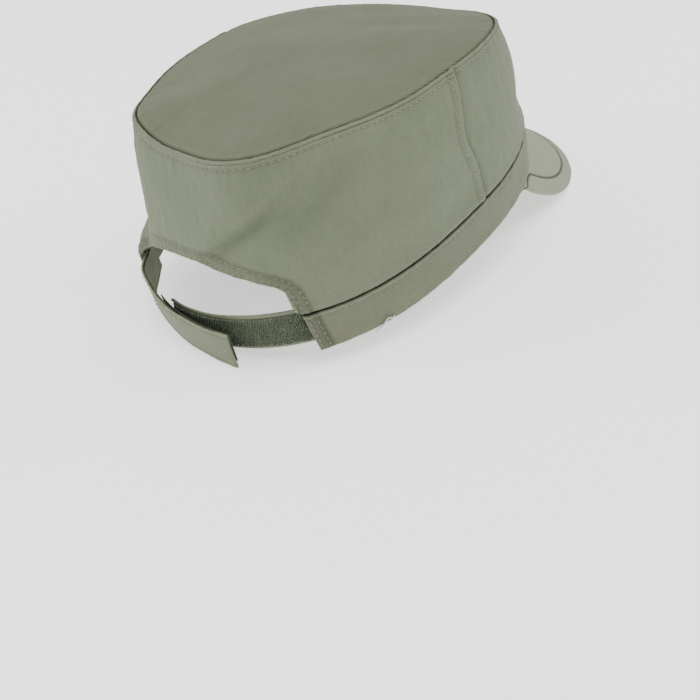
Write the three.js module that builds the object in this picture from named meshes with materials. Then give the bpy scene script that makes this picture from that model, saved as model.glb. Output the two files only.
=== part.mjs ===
import * as THREE from 'three';

// Sizes are in millimetres and angles in degrees. Every piece is drawn with the rim of the
// cap level at height 0: the back is at +Y, the peak at -Y and the wearer's right at -X.
// The finished cap is then tipped onto the surface that it rests on.

// Rim, and the band that stands on it
const RIM_HALF_LENGTH = 100;
const RIM_HALF_WIDTH = 74.4;
const OVAL_POWER = 2.44;
const BAND_HEIGHT = 18.7;
const BAND_THICKNESS = 2.4;
const BAND_TOP_DRAW_IN = 0.6;
const BAND_END_BOTTOM = 40.6;
const BAND_END_TOP = 37.7;

// Cloth, and the gap that is kept at every seam
const CLOTH = 1.6;
const SEAM_GAP = 0.3;
const SIDE_SEAM_ANGLE = 95;
const SIDE_SEAM_HALF_GAP = 0.08;
const WALL_BULGE = 2.6;
const WALL_FOOT_DRAW_IN = 0.5;
const WALL_ROWS = 9;
const FRONT_PANEL_COLUMNS = 40;
const BACK_PANEL_SIDE_COLUMNS = 15;
const BACK_PANEL_ARCH_COLUMNS = 9;
const BACK_PANEL_ARCH_ANGLE = 29;
const WINDOW_CORNER_ANGLES = [31.2, 33, 34.6, 35.7, 36.2, 36.8];
const BAND_COLUMNS = 72;

// Window at the back, above the strap. Its arch slumps a little on the wearer's left.
const WINDOW_TOP = 40;
const WINDOW_TILT = 0.155;
const WINDOW_FALL = 0.0107;
const WINDOW_HALF_ANGLE = 36.2;
const WINDOW_SIDE_ANGLE = 37.4;
const WINDOW_CORNER = 5;
const CORNER_DROP = 0.8;

// Crown top, and the rings of points from its centre to its seam
const TOP_CENTRE_ALONG = -3;
const TOP_RISE = 9;
const TOP_RISE_POWER = 0.85;
const TOP_RING_SHARES = [0.16, 0.34, 0.5, 0.64, 0.76, 0.86, 0.94, 1];
const TOP_SECTORS = 60;

// Peak
const PEAK_HALF_WIDTH = 67.5;
const PEAK_SIDE_ALONG = -45;
const PEAK_TIP_ALONG = -143;
const PEAK_POWER = 2.65;
const PEAK_SLOPE_CENTRE = 38;
const PEAK_SLOPE_SIDE = 45;
const PEAK_THICKNESS = 2.6;
const PEAK_TUCK = 2;
const PEAK_END_TURN = 84;
const PEAK_ROW_SHARES = [0, 0.12, 0.25, 0.42, 0.6, 0.8, 0.93, 1];
const PEAK_COLUMNS = 46;

// Strap with its loop tape, and the tab with its hook tape
const STRAP_THICKNESS = 1.3;
const TAPE_THICKNESS = 1.1;
const STRAP_OUT = -3.5;
const TAPE_TOP_MARGIN = 2;
const TAPE_FOOT_MARGIN = 1.2;
const TAB_THICKNESS = 1.6;
const TAB_TAPE_MARGIN = 1.5;

// Angles where the strap, the tab and their tapes start and end, and their columns of points
const STRAP_RUN = { start: -11, end: 46, columns: 26 };
const LOOP_TAPE_RUN = { start: -10, end: 45, columns: 26 };
const TAB_RUN = { start: -46, end: 14, columns: 28 };
const HOOK_TAPE_RUN = { start: -12, end: 13.2, columns: 14 };

// How far the cap tips back when it rests on its peak and its strap
const REST_PITCH = 8.8;

// Top seam of the crown, a row every 30 degrees from the centre back towards the wearer's
// right: how far it lies inside the rim's oval, and its height above the rim.
const TOP_SEAM = [
  { lean: 19.6, height: 82.3 },
  { lean: 12.3, height: 86.2 },
  { lean: 13.3, height: 86.4 },
  { lean: 8.6, height: 82.0 },
  { lean: 6.8, height: 77.9 },
  { lean: 12.6, height: 69.8 },
  { lean: 11.2, height: 62.2 },
  { lean: 10.4, height: 62.6 },
  { lean: 9.6, height: 69.0 },
  { lean: 10.2, height: 77.6 },
  { lean: 17.6, height: 82.0 },
  { lean: 19.2, height: 86.0 },
];

// Folds of the crown's wall. Level runs from 0 at the band to 1 at the top seam, and slant
// is how many degrees a fold runs round the cap for each level that it climbs. A depth
// below zero is a swelling. The folds fade out at both seams.
const FOLD_FADE_LEVEL = 0.12;
const FOLD_FADE_POWER = 6;
const WALL_FOLDS = [
  { angle: 44, level: 0.7, slant: 96, width: 11, length: 0.26, depth: 3.4 },
  { angle: 57, level: 0.86, slant: 40, width: 8, length: 0.12, depth: 1.4 },
  { angle: 72, level: 0.5, slant: 70, width: 13, length: 0.34, depth: -1.6 },
  { angle: 20, level: 0.75, slant: 0, width: 13, length: 0.2, depth: -1.4 },
  { angle: -28, level: 0.2, slant: 0, width: 24, length: 0.52, depth: 5 },
  { angle: -50, level: 0.45, slant: 0, width: 24, length: 0.4, depth: 4.6 },
  { angle: 131, level: 0.32, slant: 0, width: 12, length: 0.17, depth: 2.4 },
  { angle: 168, level: 0.55, slant: -30, width: 9, length: 0.25, depth: 1.8 },
  { angle: 232, level: 0.42, slant: 35, width: 10, length: 0.25, depth: 2.4 },
  { angle: 290, level: 0.55, slant: -60, width: 9, length: 0.3, depth: 2.4 },
];

// Soft hollows of the crown's top: centre, direction of the hollow, size and depth.
const TOP_HOLLOWS = [
  { across: -28, along: -48, turn: 25, length: 34, width: 10, depth: 2.2 },
  { across: 30, along: 46, turn: -40, length: 30, width: 9, depth: 2 },
  { across: 34, along: -30, turn: 70, length: 30, width: 12, depth: 1.6 },
  { across: -22, along: 62, turn: 10, length: 20, width: 7, depth: 1.2 },
];

// Strap, from its free end behind the tab to its end inside the band
const STRAP_STATIONS = [
  { angle: -11, foot: -3.6, top: 12.2 },
  { angle: -4, foot: -3.4, top: 12.2 },
  { angle: 4, foot: -3, top: 14.4 },
  { angle: 13, foot: -1.2, top: 17 },
  { angle: 24, foot: 0.4, top: 18.9 },
  { angle: 36, foot: 1.4, top: 20 },
  { angle: 46, foot: 1.6, top: 20.2 },
];

// Tab, from its end inside the band to its free end: how far the foot and the top of it
// stand outside the rim's oval, and their heights
const TAB_STATIONS = [
  { angle: -46, footOut: -3.5, topOut: -3.6, foot: 0.8, top: 18.6 },
  { angle: -38, footOut: -3.5, topOut: -3.6, foot: 0.8, top: 18.6 },
  { angle: -28, footOut: -1.2, topOut: -0.4, foot: 0.8, top: 18.8 },
  { angle: -18, footOut: -0.6, topOut: 0.6, foot: 0.3, top: 18.2 },
  { angle: -9, footOut: 0.8, topOut: 2.6, foot: -0.7, top: 17.1 },
  { angle: 0, footOut: 3.2, topOut: 4.8, foot: -2.1, top: 16.3 },
  { angle: 7, footOut: 4.0, topOut: 5.6, foot: -3.9, top: 15.6 },
  { angle: 14, footOut: 5.2, topOut: 5.6, foot: -6.4, top: 14.9 },
];

const degrees = THREE.MathUtils.degToRad;

function signedPower(value, power) {
  return Math.sign(value) * Math.abs(value) ** power;
}

// The point of the rim's oval at an angle counted from the centre back towards the
// wearer's right, moved outward along the oval's normal.
function ovalPoint(angle, outward, height) {
  const across = -signedPower(Math.sin(degrees(angle)), 2 / OVAL_POWER);
  const along = signedPower(Math.cos(degrees(angle)), 2 / OVAL_POWER);
  const normal = new THREE.Vector2(
    signedPower(across, OVAL_POWER - 1) / RIM_HALF_WIDTH,
    signedPower(along, OVAL_POWER - 1) / RIM_HALF_LENGTH,
  ).normalize();
  return new THREE.Vector3(
    RIM_HALF_WIDTH * across + outward * normal.x,
    RIM_HALF_LENGTH * along + outward * normal.y,
    height,
  );
}

// How far forward the front half of an oval drawn in by an inset reaches at a place across.
function frontReach(across, inset) {
  const share = Math.abs(across) / (RIM_HALF_WIDTH - inset);
  return -(RIM_HALF_LENGTH - inset) * Math.max(1 - share ** OVAL_POWER, 0) ** (1 / OVAL_POWER);
}

// A smooth value between the rows of a table.
function smoothValue(before, start, end, after, share) {
  const slopeStart = (end - before) / 2;
  const slopeEnd = (after - start) / 2;
  const rise = end - start;
  const square = 3 * rise - 2 * slopeStart - slopeEnd;
  const cube = slopeStart + slopeEnd - 2 * rise;
  return start + share * (slopeStart + share * (square + share * cube));
}

// The top seam's lean or height at any angle.
function seamValue(name, angle) {
  const count = TOP_SEAM.length;
  const place = (((angle % 360) + 360) % 360) / (360 / count);
  const row = Math.floor(place);
  const value = (step) => TOP_SEAM[(row + step + count) % count][name];
  return smoothValue(value(-1), value(0), value(1), value(2), place - row);
}

// A column of a table whose rows state their own angle.
function stationValue(stations, name, angle) {
  const last = stations.length - 1;
  let row = 0;
  while (row < last - 1 && angle > stations[row + 1].angle) {
    row += 1;
  }
  const share = (angle - stations[row].angle) / (stations[row + 1].angle - stations[row].angle);
  const value = (index) => stations[THREE.MathUtils.clamp(index, 0, last)][name];
  return smoothValue(value(row - 1), value(row), value(row + 1), value(row + 2), share);
}

// A solid from points and triangles, turned so that its faces point outward.
function solidFrom(points, triangles) {
  let volume = 0;
  for (let first = 0; first < triangles.length; first += 3) {
    const [a, b, c] = [0, 1, 2].map((step) => points[triangles[first + step]]);
    volume += a.dot(new THREE.Vector3().crossVectors(b, c));
  }
  const geometry = new THREE.BufferGeometry().setFromPoints(points);
  geometry.setIndex(volume < 0 ? triangles.reverse() : triangles);
  geometry.computeVertexNormals();
  return geometry;
}

function addQuad(triangles, a, b, c, d) {
  triangles.push(a, b, c, a, c, d);
}

// A closed sheet with thickness between two equal grids of points, its outer face first.
function sheetBetween(outer, inner) {
  const columns = outer.length;
  const rows = outer[0].length;
  const index = (side, column, row) => (side * columns + column) * rows + row;
  const triangles = [];
  for (let column = 0; column < columns - 1; column += 1) {
    const next = column + 1;
    for (let row = 0; row < rows - 1; row += 1) {
      addQuad(triangles, index(0, column, row), index(0, next, row),
        index(0, next, row + 1), index(0, column, row + 1));
      addQuad(triangles, index(1, column, row), index(1, column, row + 1),
        index(1, next, row + 1), index(1, next, row));
    }
    addQuad(triangles, index(0, column, 0), index(1, column, 0), index(1, next, 0), index(0, next, 0));
    addQuad(triangles, index(0, column, rows - 1), index(0, next, rows - 1),
      index(1, next, rows - 1), index(1, column, rows - 1));
  }
  for (let row = 0; row < rows - 1; row += 1) {
    addQuad(triangles, index(0, 0, row), index(0, 0, row + 1), index(1, 0, row + 1), index(1, 0, row));
    addQuad(triangles, index(0, columns - 1, row), index(1, columns - 1, row),
      index(1, columns - 1, row + 1), index(0, columns - 1, row + 1));
  }
  return solidFrom([...outer.flat(), ...inner.flat()], triangles);
}

// A closed round sheet between two faces, each given as a centre and rings of points.
function roundSheetBetween(outer, inner) {
  const rings = outer.rings.length;
  const sectors = outer.rings[0].length;
  const faceSize = 1 + rings * sectors;
  const index = (side, ring, sector) => side * faceSize + 1 + ring * sectors + (sector % sectors);
  const triangles = [];
  for (let sector = 0; sector < sectors; sector += 1) {
    const next = sector + 1;
    triangles.push(0, index(0, 0, sector), index(0, 0, next));
    triangles.push(faceSize, index(1, 0, next), index(1, 0, sector));
    for (let ring = 0; ring < rings - 1; ring += 1) {
      addQuad(triangles, index(0, ring, sector), index(0, ring + 1, sector),
        index(0, ring + 1, next), index(0, ring, next));
      addQuad(triangles, index(1, ring, sector), index(1, ring, next),
        index(1, ring + 1, next), index(1, ring + 1, sector));
    }
    addQuad(triangles, index(0, rings - 1, sector), index(1, rings - 1, sector),
      index(1, rings - 1, next), index(0, rings - 1, next));
  }
  const points = [outer.centre, ...outer.rings.flat(), inner.centre, ...inner.rings.flat()];
  return solidFrom(points, triangles);
}

// Even steps from one value to another.
function steps(from, to, count) {
  return Array.from({ length: count + 1 }, (_, step) => from + ((to - from) * step) / count);
}

// How deep the folds draw the crown's wall in, fading out where the band holds it.
function foldDepth(angle, level) {
  let depth = 0;
  for (const fold of WALL_FOLDS) {
    const turned = ((angle - fold.angle + 540) % 360) - 180;
    const climbed = level - fold.level;
    const beside = (turned - fold.slant * climbed) / fold.width;
    depth += fold.depth * Math.exp(-(beside ** 2) - (climbed / fold.length) ** 2);
  }
  const fadeAtBand = THREE.MathUtils.smoothstep(level, 0, FOLD_FADE_LEVEL);
  return depth * fadeAtBand * (1 - level ** FOLD_FADE_POWER);
}

// A point of the crown's wall, from level 0 at the band to level 1 at the top seam.
function wallPoint(angle, level, inward) {
  const swell = WALL_BULGE * Math.sin(Math.PI * level) - foldDepth(angle, level) - inward;
  const foot = ovalPoint(angle, swell - WALL_FOOT_DRAW_IN, BAND_HEIGHT + SEAM_GAP);
  const top = ovalPoint(angle, swell - seamValue('lean', angle), seamValue('height', angle));
  return foot.lerp(top, level);
}

// Height of the window's arch, before its corners are rounded.
function archHeight(angle) {
  return WINDOW_TOP + WINDOW_TILT * angle - WINDOW_FALL * angle ** 2;
}

// Height of the lower edge of the back panel: the window's arch, its round corners and its
// sides, and past them the band.
function panelFoot(angle) {
  const floor = BAND_HEIGHT + SEAM_GAP;
  const turned = Math.abs(angle);
  if (turned >= WINDOW_SIDE_ANGLE) {
    return floor;
  }
  if (turned > WINDOW_HALF_ANGLE) {
    const share = (turned - WINDOW_HALF_ANGLE) / (WINDOW_SIDE_ANGLE - WINDOW_HALF_ANGLE);
    const cornerAngle = Math.sign(angle) * WINDOW_HALF_ANGLE;
    const cornerFoot = archHeight(cornerAngle) - CORNER_DROP * WINDOW_CORNER;
    return Math.max(THREE.MathUtils.lerp(cornerFoot, floor, share), floor);
  }
  const round = Math.max(turned - WINDOW_HALF_ANGLE + WINDOW_CORNER, 0) / WINDOW_CORNER;
  const fullTurn = 1 - (1 - CORNER_DROP) ** 2;
  const drop = WINDOW_CORNER * (1 - Math.sqrt(1 - fullTurn * round ** 2));
  return Math.max(archHeight(angle) - drop, floor);
}

// A panel of the crown's wall, with a column of points at each angle.
function wallPanel(angles, footHeight) {
  const grid = (inward) => angles.map((angle) => {
    const floor = BAND_HEIGHT + SEAM_GAP;
    const span = seamValue('height', angle) - floor;
    const start = (footHeight(angle) - floor) / span;
    const end = 1 - (CLOTH + SEAM_GAP) / span;
    return steps(start, end, WALL_ROWS).map((level) => wallPoint(angle, level, inward));
  });
  return sheetBetween(grid(0), grid(CLOTH));
}

function crownFrontPanel() {
  const start = SIDE_SEAM_ANGLE + SIDE_SEAM_HALF_GAP;
  const angles = steps(start, 360 - start, FRONT_PANEL_COLUMNS);
  return wallPanel(angles, () => BAND_HEIGHT + SEAM_GAP);
}

function crownBackPanel() {
  const end = SIDE_SEAM_ANGLE - SIDE_SEAM_HALF_GAP;
  const sideAngles = steps(WINDOW_SIDE_ANGLE, end, BACK_PANEL_SIDE_COLUMNS);
  const archAngles = steps(0, BACK_PANEL_ARCH_ANGLE, BACK_PANEL_ARCH_COLUMNS);
  const right = [...archAngles, ...WINDOW_CORNER_ANGLES, ...sideAngles];
  const left = right.slice(1).reverse().map((angle) => -angle);
  return wallPanel([...left, ...right], panelFoot);
}

// The plane that lies closest to the top seam, as its height and its slopes.
function seamPlane() {
  const points = steps(0, 350, 35).map((angle) => (
    ovalPoint(angle, -seamValue('lean', angle), seamValue('height', angle))));
  const mean = (values) => values.reduce((sum, value) => sum + value, 0) / values.length;
  const height = mean(points.map((point) => point.z));
  const slope = (axis) => mean(points.map((point) => (point.z - height) * point[axis]))
    / mean(points.map((point) => point[axis] ** 2));
  return { height, across: slope('x'), along: slope('y') };
}

function hollowDepth(across, along) {
  let depth = 0;
  for (const hollow of TOP_HOLLOWS) {
    const turn = degrees(hollow.turn);
    const x = across - hollow.across;
    const y = along - hollow.along;
    const lengthwise = (x * Math.cos(turn) + y * Math.sin(turn)) / hollow.length;
    const sideways = (y * Math.cos(turn) - x * Math.sin(turn)) / hollow.width;
    depth += hollow.depth * Math.exp(-(lengthwise ** 2) - sideways ** 2);
  }
  return depth;
}

function crownTop() {
  const plane = seamPlane();
  const planeHeight = (x, y) => plane.height + plane.across * x + plane.along * y;
  const facePoint = (angle, share, inward) => {
    const seam = ovalPoint(angle, -seamValue('lean', angle), seamValue('height', angle));
    const x = seam.x * share;
    const y = THREE.MathUtils.lerp(TOP_CENTRE_ALONG, seam.y, share);
    const lift = (seam.z - planeHeight(seam.x, seam.y)) * share ** 2;
    const dome = TOP_RISE * (1 - share ** 2) ** TOP_RISE_POWER;
    const hollow = hollowDepth(x, y) * (1 - share ** 4);
    return new THREE.Vector3(x, y, planeHeight(x, y) + lift + dome - hollow - inward);
  };
  const angles = steps(0, 360, TOP_SECTORS).slice(0, -1);
  const face = (inward) => ({
    centre: facePoint(0, 0, inward),
    rings: TOP_RING_SHARES.map((share) => angles.map((angle) => facePoint(angle, share, inward))),
  });
  return roundSheetBetween(face(0), face(CLOTH));
}

function band() {
  const levels = [0, 0.5, 1];
  const grid = (inward) => steps(-1, 1, BAND_COLUMNS).map((share) => levels.map((level) => {
    const end = THREE.MathUtils.lerp(BAND_END_BOTTOM, BAND_END_TOP, level);
    const angle = 180 + share * (180 - end);
    return ovalPoint(angle, -BAND_TOP_DRAW_IN * level - inward, BAND_HEIGHT * level);
  }));
  return sheetBetween(grid(0), grid(BAND_THICKNESS));
}

// The peak's upper face: straight lines that start under the band and slope down forward.
// Turn runs along the peak's outline, and share from the band to the outline.
function peakPoint(turn, share) {
  const across = -PEAK_HALF_WIDTH * signedPower(Math.sin(degrees(turn)), 2 / PEAK_POWER);
  const reach = Math.cos(degrees(turn)) ** (2 / PEAK_POWER);
  const edge = THREE.MathUtils.lerp(PEAK_SIDE_ALONG, PEAK_TIP_ALONG, reach);
  const start = frontReach(across, PEAK_TUCK);
  const along = THREE.MathUtils.lerp(start, edge, share);
  const sideShare = (across / PEAK_HALF_WIDTH) ** 2;
  const slope = THREE.MathUtils.lerp(PEAK_SLOPE_CENTRE, PEAK_SLOPE_SIDE, sideShare);
  const run = Math.max(frontReach(across, 0) - along, 0);
  return new THREE.Vector3(across, along, -SEAM_GAP - run * Math.tan(degrees(slope)));
}

function peakNormal(turn, share) {
  const small = 0.01;
  const sideways = peakPoint(turn + small, share).sub(peakPoint(turn - small, share));
  const forward = peakPoint(turn, share + small).sub(peakPoint(turn, share - small));
  const normal = sideways.cross(forward).normalize();
  return normal.z < 0 ? normal.negate() : normal;
}

function peakGrid(depth) {
  const turns = steps(-PEAK_END_TURN, PEAK_END_TURN, PEAK_COLUMNS);
  return turns.map((turn) => PEAK_ROW_SHARES.map((share) => {
    const normal = share === 0 ? new THREE.Vector3(0, 0, 1) : peakNormal(turn, share);
    return peakPoint(turn, share).addScaledVector(normal, -depth);
  }));
}

function peak() {
  return sheetBetween(peakGrid(0), peakGrid(PEAK_THICKNESS));
}

// Height of a point measured square to the surface that the cap rests on.
function restHeight(point) {
  return point.z * Math.cos(degrees(REST_PITCH)) - point.y * Math.sin(degrees(REST_PITCH));
}

const REST_LEVEL = Math.min(...peakGrid(PEAK_THICKNESS).flat().map(restHeight));

// Raises a point to the surface that the cap rests on, if it lies below it.
function liftedToRest(point) {
  const lowest = (REST_LEVEL + point.y * Math.sin(degrees(REST_PITCH))) / Math.cos(degrees(REST_PITCH));
  return new THREE.Vector3(point.x, point.y, Math.max(point.z, lowest));
}

function strapLayer(run, outward, thickness, footMargin, topMargin) {
  const grid = (inward) => steps(run.start, run.end, run.columns).map((angle) => {
    const foot = stationValue(STRAP_STATIONS, 'foot', angle) + footMargin;
    const top = stationValue(STRAP_STATIONS, 'top', angle) - topMargin;
    return [foot, (foot + top) / 2, top].map((height) => ovalPoint(angle, outward - inward, height));
  });
  return sheetBetween(grid(0), grid(thickness));
}

function adjusterStrap() {
  const outward = STRAP_OUT - TAPE_THICKNESS - SEAM_GAP;
  return strapLayer(STRAP_RUN, outward, STRAP_THICKNESS, 0, 0);
}

function loopTape() {
  return strapLayer(LOOP_TAPE_RUN, STRAP_OUT, TAPE_THICKNESS, TAPE_FOOT_MARGIN, TAPE_TOP_MARGIN);
}

function tabLayer(run, inset, thickness, margin) {
  const grid = (inward) => steps(run.start, run.end, run.columns).map((angle) => {
    const value = (name) => stationValue(TAB_STATIONS, name, angle);
    const foot = liftedToRest(ovalPoint(angle, value('footOut') - inward, value('foot')));
    const top = ovalPoint(angle, value('topOut') - inward, value('top'));
    const marginShare = margin / (top.z - foot.z);
    return [marginShare, 0.5, 1 - marginShare].map((share) => foot.clone().lerp(top, share));
  });
  return sheetBetween(grid(inset), grid(inset + thickness));
}

function fasteningTab() {
  return tabLayer(TAB_RUN, 0, TAB_THICKNESS, 0);
}

function hookTape() {
  return tabLayer(HOOK_TAPE_RUN, TAB_THICKNESS + SEAM_GAP, TAPE_THICKNESS, TAB_TAPE_MARGIN);
}

const cap = new THREE.Group();

function addPiece(name, geometry, color, roughness) {
  const material = new THREE.MeshStandardMaterial({ color, roughness, metalness: 0 });
  const piece = new THREE.Mesh(geometry, material);
  piece.name = name;
  cap.add(piece);
}

addPiece('crown_top', crownTop(), 0x8d9480, 0.92);
addPiece('crown_front_panel', crownFrontPanel(), 0x878e78, 0.92);
addPiece('crown_back_panel', crownBackPanel(), 0x878e78, 0.92);
addPiece('band', band(), 0x8a907b, 0.92);
addPiece('peak', peak(), 0x9a9f8b, 0.9);
addPiece('adjuster_strap', adjusterStrap(), 0x76835f, 0.92);
addPiece('loop_tape', loopTape(), 0x5f7049, 1);
addPiece('fastening_tab', fasteningTab(), 0x858d72, 0.92);
addPiece('hook_tape', hookTape(), 0x3f4a38, 0.85);

// The cap tips back onto the resting surface, centred over the origin.
cap.rotation.x = -degrees(REST_PITCH);
const standing = new THREE.Group();
standing.add(cap);
standing.updateMatrixWorld(true);
const extent = new THREE.Box3().setFromObject(standing, true);
const middle = extent.getCenter(new THREE.Vector3());
cap.position.set(-middle.x, -middle.y, -extent.min.z);

export default standing;
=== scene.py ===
"""Patrol cap in sage cotton twill, dressed over its frame: crown, band, peak and strap."""

import logging
import math
from dataclasses import dataclass, field
from enum import Enum
from typing import Callable, Sequence

import bmesh
import bpy
import numpy as np
from mathutils import Matrix, Vector


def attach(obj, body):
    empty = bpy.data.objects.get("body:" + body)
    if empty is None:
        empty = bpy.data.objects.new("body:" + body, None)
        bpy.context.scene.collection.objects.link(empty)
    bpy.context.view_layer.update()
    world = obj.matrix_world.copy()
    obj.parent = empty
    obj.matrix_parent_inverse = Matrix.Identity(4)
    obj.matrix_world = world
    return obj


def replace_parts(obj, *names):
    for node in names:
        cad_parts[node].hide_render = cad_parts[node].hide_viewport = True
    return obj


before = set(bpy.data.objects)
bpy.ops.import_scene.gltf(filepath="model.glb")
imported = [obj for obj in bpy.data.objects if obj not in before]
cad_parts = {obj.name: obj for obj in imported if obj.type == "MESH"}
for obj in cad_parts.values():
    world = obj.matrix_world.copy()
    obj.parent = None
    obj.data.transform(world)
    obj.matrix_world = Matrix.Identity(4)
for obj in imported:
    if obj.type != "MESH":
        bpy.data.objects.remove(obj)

LOG = logging.getLogger("patrol_cap")
MM = 0.001
FAR = 99.0  # A distance in millimetres that lies beyond every edge
Points = np.ndarray
Triple = tuple[float, float, float]
Placing = Callable[[Points, Points], Points]
Spotting = Callable[[Points, Points], tuple[Points, Points]]


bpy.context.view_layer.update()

# Shape of the cap. Millimetres and degrees, with the rim level at height 0, the back at +Y
# and the wearer's right at -X. Angles run from the centre back towards the wearer's right.


@dataclass(frozen=True)
class RestPose:
    """How the cap stands: tipped back onto its peak's corners and its tab.

    Attributes:
        pitch: Tip of the rim in degrees.
        along: Shift along the cap in millimetres.
        height: Shift upward in millimetres.
    """

    pitch: float = 8.8
    along: float = 20.062
    height: float = 19.595

    def place(self, points: Points) -> Points:
        """Carries points from the level rim to the standing cap.

        Args:
            points: Rows of x, y, z in millimetres.

        Returns:
            Rows of x, y, z in metres.
        """
        turn = math.radians(self.pitch)
        across, along, up = points.T
        return MM * np.column_stack([
            across,
            along * math.cos(turn) + up * math.sin(turn) + self.along,
            up * math.cos(turn) - along * math.sin(turn) + self.height,
        ])


REST = RestPose()


def signed_power(value: Points, power: float) -> Points:
    """A power that keeps the sign of its value."""
    return np.sign(value) * np.abs(value) ** power


def smooth_step(value: Points, start: float, end: float) -> Points:
    """A soft step from 0 at start to 1 at end."""
    share = np.clip((value - start) / (end - start), 0.0, 1.0)
    return share * share * (3.0 - 2.0 * share)


def bump(value: Points, centre: float, width: float) -> Points:
    """A soft bump of height 1 round a centre."""
    return np.exp(-(((value - centre) / width) ** 2))


def edge_roll(edge: Points, radius: float) -> Points:
    """How far cloth falls away at distances from an edge that it rolls over."""
    roll = np.maximum(radius - edge, 0)
    return radius - np.sqrt(np.maximum(radius**2 - roll**2, 0))


def wrapped(angle: Points) -> Points:
    """Angles brought to between -180 and 180 degrees."""
    return np.mod(angle + 180, 360) - 180


def between(rows: Sequence[float], before: Points, share: Points, closed: bool) -> Points:
    """Smooth values between the rows of a table.

    Args:
        rows: The table's values.
        before: Index of the row before each place.
        share: How far each place lies towards the next row.
        closed: Whether the last row runs on into the first.

    Returns:
        The value at each place.
    """
    table = np.asarray(rows, float)
    count = len(table)

    def row(step: int) -> Points:
        """The table's value a step away from each place."""
        index = before + step
        return table[index % count] if closed else table[np.clip(index, 0, count - 1)]

    start, end = row(0), row(1)
    slope_start = (end - row(-1)) / 2
    slope_end = (row(2) - start) / 2
    rise = end - start
    square = 3 * rise - 2 * slope_start - slope_end
    cube = slope_start + slope_end - 2 * rise
    return start + share * (slope_start + share * (square + share * cube))


@dataclass(frozen=True)
class RimOval:
    """The oval of the rim, which every wall of the cap follows."""

    half_length: float = 100.0
    half_width: float = 74.4
    power: float = 2.44

    def point(self, angle: Points, outward: Points, height: Points) -> Points:
        """Points at angles round the oval, moved out along its normal.

        Args:
            angle: Angles in degrees.
            outward: Distance outside the oval.
            height: Height above the rim.

        Returns:
            Rows of x, y, z.
        """
        turn = np.radians(angle)
        across = -signed_power(np.sin(turn), 2 / self.power)
        along = signed_power(np.cos(turn), 2 / self.power)
        normal_x = signed_power(across, self.power - 1) / self.half_width
        normal_y = signed_power(along, self.power - 1) / self.half_length
        size = np.hypot(normal_x, normal_y)
        return np.column_stack([
            self.half_width * across + outward * normal_x / size,
            self.half_length * along + outward * normal_y / size,
            height + 0.0 * turn,
        ])

    def girth(self) -> tuple[Points, Points]:
        """Angles from -180 to 360 degrees and how far round the oval each lies.

        Returns:
            The angles, and the run from the centre back to each.
        """
        angles = np.linspace(-180.0, 360.0, 5401)
        points = self.point(angles, 0.0, 0.0)
        steps = np.hypot(*np.diff(points[:, :2], axis=0).T)
        run = np.concatenate([[0.0], np.cumsum(steps)])
        return angles, run - np.interp(0.0, angles, run)

    def run_at(self, angle: Points) -> Points:
        """How far round the oval an angle lies, from the centre back."""
        angles, run = GIRTH
        return np.interp(angle, angles, run)

    def angle_at(self, run: Points) -> Points:
        """The angle that lies a distance round the oval."""
        angles, table = GIRTH
        return np.interp(run, table, angles)

    def even_angles(self, start: float, end: float, count: int) -> Points:
        """Angles that are evenly spaced along the oval."""
        return self.angle_at(np.linspace(self.run_at(start), self.run_at(end), count))

    def front(self, across: Points, inset: float) -> Points:
        """How far forward the oval's front half reaches at a place across.

        Args:
            across: Places across, in millimetres.
            inset: How far inside the oval.

        Returns:
            Places along, in millimetres.
        """
        share = np.abs(across) / (self.half_width - inset)
        inside = np.maximum(1 - share**self.power, 0.0)
        return -(self.half_length - inset) * inside ** (1 / self.power)


OVAL = RimOval()
GIRTH = OVAL.girth()

# Points on the inner side of the pieces' cloth, in millimetres
CROWN_HEART = (0.0, 0.0, 40.0)
BAND_HEART = (0.0, 0.0, 9.0)
PEAK_HEART = (0.0, -95.0, -14.0)
STRAP_HEART = (0.0, 60.0, 8.0)


@dataclass(frozen=True)
class Ripples:
    """Uneven low waves of cloth, a sum of plane waves with seeded directions.

    Attributes:
        seed: Seed of the directions and starts.
        wave: Length of the longest wave in millimetres.
        stretch: How much longer the waves are along the first direction.
        count: Number of waves.
    """

    seed: int
    wave: float
    stretch: float = 1.0
    count: int = 14

    def at(self, run: Points, climb: Points) -> Points:
        """Height of the waves, mostly between -1 and 1, at places on the cloth.

        Args:
            run: First length of the places.
            climb: Second length of the places.

        Returns:
            The heights.
        """
        source = np.random.default_rng(self.seed)
        total = np.zeros(np.broadcast(run, climb).shape)
        for _ in range(self.count):
            turn = source.uniform(0, math.pi)
            size = 2 * math.pi / (self.wave * source.uniform(0.45, 1.0))
            start = source.uniform(0, 2 * math.pi)
            sideways = size * math.cos(turn) / self.stretch
            total = total + np.sin(sideways * run + size * math.sin(turn) * climb + start)
        return total / math.sqrt(self.count)


@dataclass(frozen=True)
class Gathers:
    """Small gathers that a row of stitches draws into cloth.

    Attributes:
        wave: Usual distance between gathers in millimetres.
        reach: How far from the row they fade.
        seed: Seed of their spacing.
    """

    wave: float
    reach: float
    seed: int

    def at(self, run: Points, away: Points) -> Points:
        """Height of the gathers, mostly between -1 and 1, along and away from the row.

        Args:
            run: Distance along the row.
            away: Distance from the row.

        Returns:
            The heights.
        """
        source = np.random.default_rng(self.seed)
        total = np.zeros(np.shape(run))
        for share in (0.62, 0.87, 1.0, 1.31, 1.9):
            start = source.uniform(0, 2 * math.pi)
            turns = 2 * math.pi * run / (self.wave * share)
            total += np.sin(turns + start) * source.uniform(0.5, 1)
        return total / 2.2 * np.exp(-np.abs(away) / self.reach)


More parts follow.
